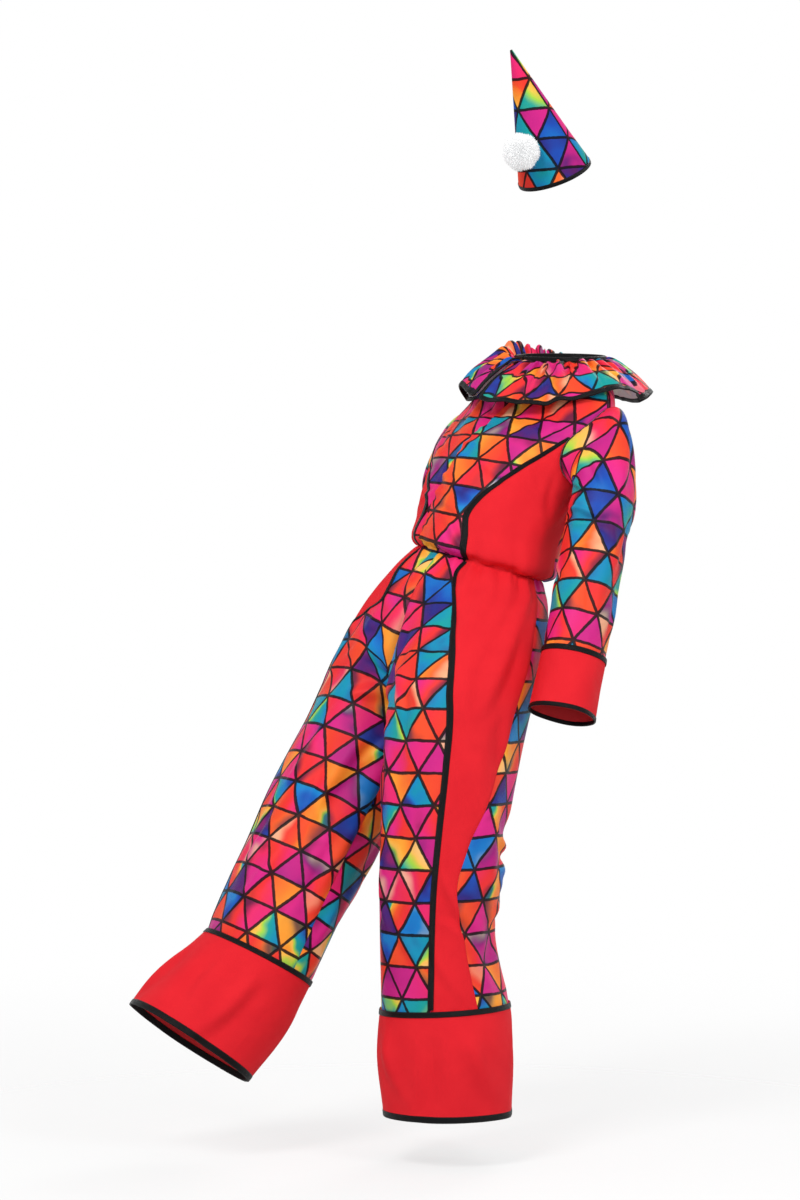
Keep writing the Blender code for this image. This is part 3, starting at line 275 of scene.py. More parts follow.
@dataclass(frozen=True)
class Folds:
    """Folds of one piece of cloth, each row one Fold's values.

    scale holds metres to a degree and to the whole way, and beside is the share of a fold's height
    that returns beside it, some of its widths away.
    """

    scale: Pair
    rows: tuple[tuple[float, ...], ...]
    beside: float = 0.0
    beside_at: float = 1.7

    def height(self, turn: Array, at: Array) -> Array:
        """Height of the folds at each point: ridges above 0 and troughs below it."""
        total = np.zeros(np.broadcast(turn, at).shape)
        for fold in (Fold(*row) for row in self.rows):
            aside = turn_between(turn, fold.turn) * self.scale[0]
            down = (at - fold.at) * self.scale[1]
            cos, sin = math.cos(math.radians(fold.angle)), math.sin(math.radians(fold.angle))
            lengthways = aside * cos + down * sin
            across = (down * cos - aside * sin + fold.bend * lengthways**2) / (fold.width * MM)
            profile = bump(across, 0.0, 1.0) - self.beside * bump(across, self.beside_at, 1.0)
            total += fold.depth * MM * profile * bump(lengthways, 0.0, fold.length * MM)
        return total


class Wave(NamedTuple):
    """One soft wave round a tube: how many, its height, its phase and how that drifts on the way."""

    count: int
    height: float
    phase: float
    drift: float


def drape(waves: Sequence[Wave], turn: Array, way: Array) -> Array:
    """Height of the soft waves that hang down a tube of cloth."""
    total = np.zeros(np.broadcast(turn, way).shape)
    for wave in waves:
        total += wave.height * np.cos(np.radians(wave.count * turn + wave.phase) + wave.drift * way)
    return total


class Draped:
    """Cloth with folds, creases and waves, which fade out towards its ends over spans of its way."""

    folds: Folds
    creases: Folds
    waves: tuple[Wave, ...]
    crease_strength: float
    folds_on: tuple[Pair, Pair]
    creases_on: tuple[Pair, Pair]

    def relief(self, turn: Array, way: Array) -> Array:
        """Height of the folds, creases and waves."""
        coarse = self.folds.height(turn, way)
        fine = self.crease_strength * self.creases.height(turn, way) + drape(self.waves, turn, way)
        for (start, full), (end, gone), height in ((*self.folds_on, coarse), (*self.creases_on, fine)):
            height *= ease(start, full, way) * (1 - ease(end, gone, way))
        return coarse + fine


@dataclass(frozen=True)
class Gathers:
    """Small uneven gathers that elastic makes round a seam."""

    count: int
    depth: float
    reach: float
    seed: int

    def height(self, angle: Array, away: Array) -> Array:
        """Height of the gathers.

        Args:
            angle: degrees round the seam.
            away: metres of cloth from the seam.

        Returns:
            Heights, which are below 0 in each gather.
        """
        draw = np.random.default_rng(self.seed)
        total = np.zeros(np.broadcast(angle, away).shape)
        pitch = 360.0 / self.count
        for number in range(self.count):
            centre = number * pitch + draw.uniform(-GATHER_PLACE, GATHER_PLACE) * pitch
            spread = pitch * draw.uniform(*GATHER_WIDTH)
            depth = self.depth * draw.uniform(*GATHER_DEPTH)
            reach = self.reach * draw.uniform(*GATHER_REACH)
            slant = draw.uniform(-GATHER_SLANT, GATHER_SLANT)
            aside = turn_between(angle, centre) + slant * away
            total -= depth * bump(aside, 0.0, spread) * np.exp(-np.abs(away) / reach)
        start = 1 - np.exp(-np.abs(away) / GATHER_START)
        return start * (total + GATHER_SWELL * self.depth * np.exp(-np.abs(away) / self.reach))


# ---- finishes


def set_ramp(node: bpy.types.Node, stops: Sequence[tuple[float, Triple]]) -> None:
    """Gives a ramp node its stops."""
    elements = node.color_ramp.elements
    while len(elements) > 1:
        elements.remove(elements[-1])
    elements[0].position, elements[0].color = stops[0][0], (*stops[0][1], 1.0)
    for position, colour in stops[1:]:
        elements.new(position).color = (*colour, 1.0)


class Graph:
    """Short ways to build a material's nodes."""

    def __init__(self, name: str) -> None:
        """Starts a material of that name with its Principled shader."""
        self.material = bpy.data.materials.new(name)
        self.material.use_nodes = True
        self.nodes = self.material.node_tree.nodes
        self.links = self.material.node_tree.links
        self.shader = self.nodes["Principled BSDF"]

    def make(self, kind: str, values: Sequence[object] = (), **settings: object) -> bpy.types.Node:
        """A new node with its settings, and values for its first inputs."""
        node = self.nodes.new(kind)
        for key, value in settings.items():
            setattr(node, key, value)
        for place, value in enumerate(values):
            self.join(value, node.inputs[place])
        return node

    def join(self, source: object, target: Socket) -> None:
        """Links a socket to another, or sets a plain value on it."""
        if isinstance(source, Socket):
            self.links.new(source, target)
        else:
            target.default_value = source

    def math(self, operation: str, *values: object) -> Socket:
        """The result of a Math node."""
        return self.make("ShaderNodeMath", values, operation=operation).outputs[0]

    def mix(self, factor: object, first: object, second: object) -> Socket:
        """The colour of a Mix node, between two sockets or plain colours."""
        node = self.make("ShaderNodeMix", data_type="RGBA", blend_type="MIX", clamp_factor=True)
        for value, place in ((factor, 0), (first, 6), (second, 7)):
            self.join((*value, 1.0) if isinstance(value, tuple) else value, node.inputs[place])
        return node.outputs[2]

    def noise(self, at: Socket, scale: float, detail: float = 2.0, output: object = 0) -> Socket:
        """The value of a Noise Texture node at a vector, or another of its outputs."""
        node = self.make("ShaderNodeTexNoise")
        for name, value in (("Vector", at), ("Scale", scale), ("Detail", detail)):
            self.join(value, node.inputs[name])
        return node.outputs[output]

    def spread(self, value: Socket, low: float, high: float, start: float, end: float) -> Socket:
        """The value mapped from low and high to start and end."""
        values = value, low, high, start, end
        return self.make("ShaderNodeMapRange", values, interpolation_type="SMOOTHSTEP").outputs[0]

    def ramp(self, at: Socket, stops: Sequence[tuple[float, Triple]]) -> Socket:
        """The colour of a ramp with these stops."""
        node = self.make("ShaderNodeValToRGB", (at,))
        set_ramp(node, stops)
        return node.outputs[0]

    def apart(self, vector: Socket) -> tuple[Socket, Socket]:
        """The first two coordinates of a vector."""
        return tuple(self.make("ShaderNodeSeparateXYZ", (vector,)).outputs)[:2]

    def grain(self) -> tuple[Socket, Socket, Socket]:
        """The cloth's own coordinates in metres, whole and apart."""
        cut = self.make("ShaderNodeUVMap", uv_map="cut").outputs[0]
        return cut, *self.apart(cut)

    def raise_by(self, height: Socket, distance: float, under: Socket | None = None) -> Socket:
        """The normal of a Bump node, over another normal where one is given."""
        node = self.make("ShaderNodeBump")
        for name, value in (("Strength", 1.0), ("Distance", distance), ("Height", height), ("Normal", under)):
            if value is not None:
                self.join(value, node.inputs[name])
        return node.outputs[0]

    def threads(self, along: Socket, pitch: float) -> Socket:
        """Height of threads of that pitch along a coordinate."""
        return self.math("SINE", self.math("MULTIPLY", along, 2 * math.pi / pitch))

    def weave(self, across: Socket, along: Socket, pitch: float) -> Socket:
        """Height of a plain weave, from threads of that pitch both ways."""
        return self.math("MULTIPLY", self.threads(across, pitch), self.threads(along, pitch))

    def set(self, **values: object) -> Material:
        """Joins values to the shader's inputs, whose names are spelt with _, and gives the material."""
        for name, value in values.items():
            value = (*value, 1.0) if isinstance(value, tuple) else value
            self.join(value, self.shader.inputs[name.replace("_", " ")])
        return self.material


@dataclass(frozen=True)
class RedCloth:
    """Fine plain-woven polyester, nearly matt."""

    name: str = "red_plain_weave"
    colour: Triple = (0.8, 0.015, 0.0245)
    deep: Triple = (0.715, 0.01, 0.02)
    roughness: float = 0.8
    specular: float = 0.2
    slub_scale: float = 900.0
    cloud_scale: float = 22.0
    slub_share: float = 0.6
    thread: float = 0.00062
    thread_height: float = 0.00006
    crumple_scale: float = 38.0
    crumple: float = 0.0014

    def material(self) -> Material:
        """The cloth's material."""
        graph = Graph(self.name)
        cut, across, along = graph.grain()
        slub = graph.math("MULTIPLY", graph.noise(cut, self.slub_scale, 3.0), self.slub_share)
        cloud = graph.math("MULTIPLY", graph.noise(cut, self.cloud_scale, 3.0), 1 - self.slub_share)
        worn = graph.spread(graph.math("ADD", slub, cloud), 0.35, 0.68, 0.0, 1.0)
        crumple = graph.raise_by(graph.noise(cut, self.crumple_scale, 4.0), self.crumple)
        threads = graph.raise_by(graph.weave(across, along, self.thread), self.thread_height, crumple)
        return graph.set(Base_Color=graph.mix(worn, self.deep, self.colour), Normal=threads,
                         Roughness=self.roughness, Specular_IOR_Level=self.specular)


@dataclass(frozen=True)
class PrintCloth:
    """Light woven polyester printed with a lattice of shaded triangles between black lines."""

    name: str = "triangle_print"
    side: float = 0.0485
    line: float = 0.0041
    pale: float = 0.0
    roughness: float = 0.45
    specular: float = 0.14
    thread: float = 0.00045
    thread_height: float = 0.00002
    crumple_scale: float = 44.0
    crumple: float = 0.001
    wobble_scale: float = 20.0
    wobble: float = 0.0035
    edge_scale: float = 160.0
    edge_wander: float = 0.0014
    edge_soft: float = 0.0004
    ink_share: float = 0.955
    ink: Triple = (0.003, 0.0025, 0.004)
    bleached: Triple = (0.86, 0.8, 0.81)
    # Dark and light corners: the slopes and the chances between which each grows, its share and its colour.
    corners: tuple[tuple[Pair, Pair, float, Triple], ...] = (
        ((0.0, 0.55), (0.62, 0.72), 0.85, (0.04, 0.008, 0.05)),
        ((0.05, -0.5), (0.14, 0.1), 0.6, (0.9, 0.66, 0.36)),
    )
    # How far a triangle's shades run along the ramp, at least and beyond that by chance.
    shade_run: Pair = (0.07, 0.28)
    upward_share: float = 0.7
    stops: tuple[tuple[float, Triple], ...] = (
        (0.0, (0.8, 0.038, 0.024)), (0.12, (0.86, 0.08, 0.022)), (0.19, (0.93, 0.21, 0.024)),
        (0.25, (0.95, 0.36, 0.034)), (0.28, (0.95, 0.5, 0.08)), (0.3, (0.34, 0.64, 0.06)),
        (0.325, (0.008, 0.33, 0.29)), (0.37, (0.006, 0.27, 0.43)), (0.42, (0.008, 0.2, 0.56)),
        (0.47, (0.01, 0.07, 0.42)), (0.51, (0.024, 0.018, 0.19)), (0.54, (0.11, 0.012, 0.15)),
        (0.58, (0.48, 0.014, 0.21)), (0.69, (0.72, 0.02, 0.23)), (0.8, (0.78, 0.02, 0.13)),
        (0.91, (0.83, 0.028, 0.036)), (1.0, (0.8, 0.038, 0.024)),
    )

    @property
    def row(self) -> float:
        """Height of a triangle."""
        return self.side * math.sqrt(0.75)

    def ways(self, graph: Graph, cut: Socket) -> tuple[Socket, Socket, Socket]:
        """The three ways across the lattice, counted in triangles, on a cloth that wanders a little."""
        values = graph.noise(cut, self.wobble_scale, output="Color"), (self.wobble, self.wobble, 0.0), cut
        wobbled = graph.make("ShaderNodeVectorMath", values, operation="MULTIPLY_ADD").outputs[0]
        across, along = graph.apart(wobbled)
        row = graph.math("DIVIDE", along, self.row)
        half = graph.math("MULTIPLY", row, 0.5)
        column = graph.math("DIVIDE", across, self.side)
        return row, graph.math("SUBTRACT", column, half), graph.math("ADD", column, half)

    def lines(self, graph: Graph, cut: Socket, parts: Sequence[Socket]) -> Socket:
        """Share of black ink at each place, which is 0 inside the triangles."""
        gaps = [graph.math("PINGPONG", part, 0.5) for part in parts]
        nearest = graph.math("MINIMUM", graph.math("MINIMUM", *gaps[:2]), gaps[2])
        wander = graph.math("MULTIPLY", graph.noise(cut, self.edge_scale), -self.edge_wander)
        away = graph.math("ADD", graph.math("MULTIPLY", nearest, self.row), wander)
        half = (self.line - self.edge_wander) / 2
        return graph.spread(away, half - self.edge_soft, half + self.edge_soft, self.ink_share, 0.0)

    def shades(self, graph: Graph, cut: Socket, ways: Sequence[Socket], parts: Sequence[Socket]) -> Socket:
        """Colour inside the triangles, each with its own hue, its own slope of shades and maybe a corner."""
        cell = graph.make("ShaderNodeCombineXYZ", [graph.math("FLOOR", way) for way in ways]).outputs[0]
        chance = graph.make("ShaderNodeTexWhiteNoise", (cell,), noise_dimensions="3D").outputs
        draws = graph.make("ShaderNodeSeparateColor", (chance["Color"],)).outputs
        pull = [graph.math("MULTIPLY_ADD", draws[n], 2.0, -1.0) for n in (0, 1)]
        across = graph.math("ADD", graph.math("ADD", parts[1], parts[2]), -1.0)
        upward = graph.math("MULTIPLY", graph.math("SUBTRACT", parts[0], 0.5), pull[1])
        slope = graph.math("ADD", graph.math("MULTIPLY", across, pull[0]),
                           graph.math("MULTIPLY", upward, self.upward_share))
        slope = graph.math("ADD", slope, graph.math("SUBTRACT", graph.noise(cut, 30.0, 1.0), 0.5))
        least, more = self.shade_run
        run = graph.math("MULTIPLY_ADD", graph.math("POWER", draws[2], 3.0), more, least)
        hue = graph.math("MULTIPLY_ADD", slope, run, chance["Value"])
        colour = graph.ramp(graph.math("FRACT", graph.math("ADD", hue, 1.0)), self.stops)
        second = graph.math("FRACT", graph.math("MULTIPLY", chance["Value"], 7.31))
        for slopes, chances, share, tone in self.corners:
            here = graph.math("MULTIPLY", graph.spread(slope, *slopes, 0.0, 1.0),
                              graph.spread(second, *chances, 0.0, share))
            colour = graph.mix(here, colour, tone)
        return colour

    def material(self) -> Material:
        """The cloth's material."""
        graph = Graph(self.name)
        cut, across, along = graph.grain()
        ways = self.ways(graph, cut)
        parts = [graph.math("FRACT", way) for way in ways]
        colour = graph.mix(self.lines(graph, cut, parts), self.shades(graph, cut, ways, parts), self.ink)
        if self.pale:
            colour = graph.mix(self.pale, colour, self.bleached)
        crumple = graph.raise_by(graph.noise(cut, self.crumple_scale, 3.0), self.crumple)
        threads = graph.raise_by(graph.weave(across, along, self.thread), self.thread_height, crumple)
        return graph.set(Base_Color=colour, Normal=threads, Roughness=self.roughness,
                         Specular_IOR_Level=self.specular)


@dataclass(frozen=True)
class BlackTape:
    """Satin bias tape, with a row of stitches near each edge."""

    name: str = "black_bias_tape"
    width: float = 0.0085
    roughness: float = 0.4
    specular: float = 0.14
    stitch: float = 0.0026
    stitch_inset: float = 0.0013
    stitch_height: float = 0.0003
    stitch_colour: Triple = (0.02, 0.019, 0.02)
    colour: Triple = (0.002, 0.002, 0.0024)
    faded: Triple = (0.006, 0.0058, 0.0066)
    pucker: float = 0.0008
    twill: float = 0.0006
    twill_height: float = 0.00005

    def material(self) -> Material:
        """The tape's material."""
        graph = Graph(self.name)
        cut, across, along = graph.grain()
        edge = graph.math("SUBTRACT", self.width / 2 - self.stitch_inset, graph.math("ABSOLUTE", across))
        row = graph.spread(graph.math("ABSOLUTE", edge), 0.0001, 0.0004, 1.0, 0.0)
        dash = graph.math("FRACT", graph.math("DIVIDE", along, self.stitch))
        dash = graph.spread(graph.math("PINGPONG", dash, 0.5), 0.1, 0.18, 0.0, 1.0)
        stitches = graph.math("MULTIPLY", row, dash)
        cloth = graph.mix(graph.noise(cut, 240.0, 3.0), self.colour, self.faded)
        pucker = graph.raise_by(graph.noise(cut, 120.0), self.pucker)
        ribs = graph.threads(graph.math("ADD", across, along), self.twill)
        twill = graph.raise_by(ribs, self.twill_height, pucker)
        return graph.set(Base_Color=graph.mix(stitches, cloth, self.stitch_colour),
                         Normal=graph.raise_by(stitches, self.stitch_height, twill),
                         Roughness=self.roughness, Specular_IOR_Level=self.specular)


@dataclass(frozen=True)
class Yarn:
    """Fluffy white acrylic yarn, with a painted glow: a weak emission that makes it look brighter than its
    lighting does.
    """

    name: str = "white_fluffy_yarn"
    colour: Triple = (0.97, 0.97, 0.965)
    shade: Triple = (0.9, 0.9, 0.905)
    # Painted light: the colour and strength of an emission that makes the yarn glow, though it is no lamp.
    painted_glow: Triple = (0.97, 0.985, 1.0)
    painted_glow_strength: float = 0.2
    roughness: float = 0.9
    lint: float = 0.0002

    def material(self) -> Material:
        """The yarn's material, with its painted glow."""
        graph = Graph(self.name)
        cut, _, _ = graph.grain()
        # The emission paints light onto the yarn, so that the pompom reads whiter than its lighting makes it.
        return graph.set(Base_Color=graph.mix(graph.noise(cut, 300.0), self.shade, self.colour),
                         Normal=graph.raise_by(graph.noise(cut, 1600.0), self.lint),
                         Roughness=self.roughness, Emission_Color=self.painted_glow,
                         Emission_Strength=self.painted_glow_strength, Sheen_Weight=0.5, Specular_IOR_Level=0.2)


class Cloth(NamedTuple):
    """A cloth's face, its reverse and its slot."""

    face: Material
    reverse: Material
    slot: str


class Wardrobe:
    """The cloths and the trims' finishes, each made once."""

    def __init__(self) -> None:
        """Makes them."""
        reverse = RedCloth("red_reverse", (0.66, 0.03, 0.036), (0.52, 0.02, 0.026), 0.74)
        self.red = Cloth(RedCloth().material(), reverse.material(), "red_cloth")
        printed = PrintCloth().material()
        stiff = PrintCloth("triangle_print_stiffened", roughness=0.75, thread_height=0.0, crumple=0.0001)
        reverse = PrintCloth("print_reverse", pale=0.8, roughness=0.6).material()
        self.printed = Cloth(printed, reverse, "print_cloth")
        self.stiffened = Cloth(stiff.material(), reverse, "print_cloth")
        self.tape = BlackTape().material()
        self.tape_narrow = BlackTape("black_binding_narrow", NARROW_TAPE).material()
        self.tape_hem = BlackTape("black_binding_hem", 0.009).material()
        self.yarn = Yarn().material()


# ---- shells and bands


def link(name: str, data: bpy.types.ID) -> Solid:
    """A new object in the scene."""
    made = bpy.data.objects.new(name, data)
    bpy.context.scene.collection.objects.link(made)
    return made


def stand_in(name: str, mesh: bpy.types.Mesh, slot: str) -> Solid:
    """A mesh's object, riding on the body, which hides the solid of that name."""
    made = link(name, mesh)
    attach(made, BODY)
    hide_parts(name)
    return made


def cloth_mesh(name: str, points: Array, faces: list, cut: Array, *finishes: Material) -> bpy.types.Mesh:
    """A smooth mesh, with each corner's place on its cloth.

    Args:
        name: the mesh's name.
        points: its points.
        faces: its faces.
        cut: places on the cloth, in the order of the faces' corners.
        finishes: its materials.

    Returns:
        The mesh.
    """
    mesh = bpy.data.meshes.new(name)
    mesh.from_pydata(points.reshape(-1, 3).tolist(), [], faces)
    mesh.uv_layers.new(name="cut").data.foreach_set("uv", np.asarray(cut, np.float32).ravel())
    for finish in finishes:
        mesh.materials.append(finish)
    mesh.shade_smooth()
    return mesh


def ring_quads(rows: int, columns: int, last: int) -> Array:
    """Quads of a grid's first columns, as many as last says: all of them where it closes on itself."""
    row, column = (way.ravel() for way in np.meshgrid(np.arange(rows - 1), np.arange(last), indexing="ij"))
    after = (column + 1) % columns
    return np.stack([row * columns + column, row * columns + after,
                     (row + 1) * columns + after, (row + 1) * columns + column], axis=1)


def corner_places(rows: int, columns: int) -> Array:
    """Row and column of each corner of a grid's quads, before its last column is joined to its first."""
    corners = ring_quads(rows, columns + 1, columns)
    return np.stack([corners // (columns + 1), corners % (columns + 1)], axis=-1)


class Sewn(NamedTuple):
    """Which edges of a grid are plain seams, where the cloth dips: its first and last row and column."""

    first_row: bool = False
    last_row: bool = False
    first_column: bool = False
    last_column: bool = False


@dataclass
class Shell:
    """A piece of cloth as a thin closed shell whose outside is a grid of points.

    sign is 1 where rows crossed with columns point out of the grid, and -1 where they point in. butted
    keeps the first row where it is, meets brings the first rows of a column to the middle plane, lift
    raises the cloth, and closed joins its last column to its first. cut holds the grid's places on the
    cloth and flat the cut's size, where they aren't measured on the grid; shift moves the cut.
    """

    name: str
    points: Array
    sign: float
    cloth: Cloth
    held: Held = Held.HUNG
    closed: bool = False
    wall: float = CLOTH_WALL
    sewn: Sewn = Sewn()
    dip: float = 0.0011
    dip_spread: float = 0.003
    butted: bool = False
    meets: tuple[int, int] | None = None
    lift: Array | None = None
    shift: Pair = (0.0, 0.0)
    cut: Array | None = None
    flat: Pair | None = None

    def outwards(self, points: Array) -> Array:
        """Unit normals of the grid, on its outer side."""
        if self.closed:
            wide = np.concatenate([points[:, -1:], points, points[:, :1]], axis=1)
            round_it = wide[:, 2:] - wide[:, :-2]
        else:
            round_it = np.gradient(points, axis=1)
        down_it = np.gradient(points, axis=0)
        return self.sign * unit(np.cross(round_it, down_it))

    def trimmed(self) -> Array:
        """The grid with its edges half a seam's gap in, and dipped where they are sewn."""
        out = self.points.copy()
        half = SEAM / 2
        out[0] += half * (not self.butted) * unit(self.points[1] - self.points[0])
        out[-1] += half * unit(self.points[-2] - self.points[-1])
        if not self.closed:
            out[:, 0] += half * unit(self.points[:, 1] - self.points[:, 0])
            out[:, -1] += half * unit(self.points[:, -2] - self.points[:, -1])
        down = lengths(self.points, 0)
        side = lengths(self.points, 1)
        away = np.full(out.shape[:2], np.inf)
        for sewn, distance in zip(self.sewn, (down, down[-1:] - down, side, side[:, -1:] - side)):
            if sewn:
                away = np.minimum(away, distance)
        depth = self.dip * bump(away, 0.0, self.dip_spread)
        height = -depth if self.lift is None else self.lift - depth
        out = out + height[..., None] * self.outwards(out)
        if self.meets:
            column, rows = self.meets
            out[:rows, column, 0] = math.copysign(half / 4, out[:, :, 0].mean())
        return out

    def flat_cut(self) -> Array:
        """The grid laid flat, in metres: the running length across each row, and down the middle column."""
        if self.cut is not None:
            return self.cut + np.array(self.shift)
        points = self.wrapped(self.points)
        across = lengths(points, 1)
        middle = points.shape[1] // 2
        across = across - across[:, middle:middle + 1]
        down = np.repeat(lengths(points, 0)[:, middle:middle + 1], points.shape[1], axis=1)
        return np.stack([across + self.shift[0], self.shift[1] - down], axis=-1)

    def wrapped(self, points: Array) -> Array:
        """The grid, with its first column again at its end where it is closed."""
        return np.concatenate([points, points[:, :1]], axis=1) if self.closed else points

    def build(self) -> None:
        """Makes the shell's object, rides it and declares its cloth."""
        outer = self.trimmed()
        inner = outer - self.wall * self.outwards(outer)
        rows, columns = outer.shape[:2]
        last = columns if self.closed else columns - 1
        quads = ring_quads(rows, columns, last)
        places = corner_places(rows, last)
        rims, rim_places = self.rims(rows, columns, last)
        faces = [quads, quads[:, ::-1] + rows * columns, rims]
        where = [places, places[:, ::-1], rim_places]
        if self.sign < 0:
            faces, where = ([part[:, ::-1] for part in parts] for parts in (faces, where))
        where = np.concatenate(where)
        mesh = cloth_mesh(self.name, np.concatenate([outer, inner]), np.concatenate(faces).tolist(),
                          self.flat_cut()[where[..., 0], where[..., 1]], self.cloth.face, self.cloth.reverse)
        slots = np.zeros(len(mesh.polygons), np.int32)
        slots[len(quads):2 * len(quads)] = 1
        mesh.polygons.foreach_set("material_index", slots)
        mesh.set_sharp_from_angle(angle=math.radians(SHARP_ANGLE))
        self.declare(stand_in(self.name, mesh, self.cloth.slot), self.wrapped(outer))

    @staticmethod
    def rims(rows: int, columns: int, last: int) -> tuple[Array, Array]:
        """Faces that close the edges between the two sides, and their places in the grid."""
        low = rows - 1
        edges = [edge for c in range(last) for edge in (((0, c + 1), (0, c)), ((low, c), (low, c + 1)))]
        if last < columns:
            edges += [edge for r in range(low) for edge in (((r, 0), (r + 1, 0)), ((r + 1, last), (r, last)))]
        places = np.array([(start, end, end, start) for start, end in edges])
        faces = places[..., 0] * columns + places[..., 1] % columns
        faces[:, 2:] += rows * columns
        return faces, places

    def declare(self, made: Solid, points: Array) -> None:
        """Says how the cloth was cut, by the size of its grid where no size is given."""
        flat = self.flat or greatest_lengths(points)
        crossed = np.cross(points[1:, 1:] - points[:-1, :-1], points[1:, :-1] - points[:-1, 1:])
        whole = flat[0] * flat[1]
        area = max(min(0.5 * float(np.linalg.norm(crossed, axis=-1).sum()), whole), LEAST_CUT * whole)
        log.info("%s: %d faces, cut %.3f x %.3f m, area %.4f m2",
                 self.name, len(made.data.polygons), *flat, area)


@dataclass
class Band:
    """A tape or binding: one flat closed section carried along a line.

    down and out are the directions of its width and of its wall at each point, steps sets how many points
    its section has, and turned_in is what the cut's width is of the width and the wall together.
    """

    name: str
    line: Array
    down: Array
    out: Array
    width: float
    wall: float
    material: Material
    closed: bool = True
    steps: int = 5
    turned_in: float = 1.22

    def section(self) -> Array:
        """Points round the section, as shares of its width and wall: rounded at both edges."""
        turns = np.linspace(0.0, 2 * math.pi, 2 * self.steps + 4, endpoint=False)
        cos, sin = np.cos(turns), np.sin(turns)
        return 0.5 * np.stack([np.sign(cos) * np.abs(cos) ** 0.5, np.sign(sin) * np.abs(sin) ** 0.6], axis=1)

    def build(self) -> None:
        section = self.section()
        count, size = len(self.line), len(section)
        points = (self.line[:, None] + section[None, :, :1] * self.width * self.down[:, None]
                  + section[None, :, 1:] * self.wall * self.out[:, None])
        along = lengths(np.concatenate([self.line, self.line[:1]]) if self.closed else self.line, 0)
        faces = (ring_quads(count + self.closed, size, size) % (count * size)).tolist()
        place, step = np.moveaxis(corner_places(count + self.closed, size), -1, 0)
        across = section[:, 0] * self.width
        cut = np.stack([across[step % size], along[place]], axis=-1).reshape(-1, 2)
        if not self.closed:
            faces += [list(range(size))[::-1], list(range((count - 1) * size, count * size))]
            cut = np.concatenate([cut] + 2 * [np.stack([across, np.zeros(size)], axis=1)])
        mesh = cloth_mesh(self.name, points, faces, cut, self.material)
        turn_out(mesh)
        made = stand_in(self.name, mesh, "black_tape")
        width, length = self.turned_in * (self.width + self.wall), float(along[-1])
        log.info("%s: tape %.1f mm wide, %.3f m long", self.name, self.width / MM, length)


def turn_out(mesh: bpy.types.Mesh) -> None:
    """Turns a closed mesh's faces outwards by its volume's sign."""
    mesh.calc_loop_triangles()
    points = np.zeros(len(mesh.vertices) * 3, np.float32)
    mesh.vertices.foreach_get("co", points)
    corners = np.zeros(len(mesh.loop_triangles) * 3, np.int32)
    mesh.loop_triangles.foreach_get("vertices", corners)
    a, b, c = points.reshape(-1, 3)[corners.reshape(-1, 3)].transpose(1, 0, 2)
    if np.sum(a * np.cross(b, c)) < 0:
        mesh.flip_normals()


# ---- bodice


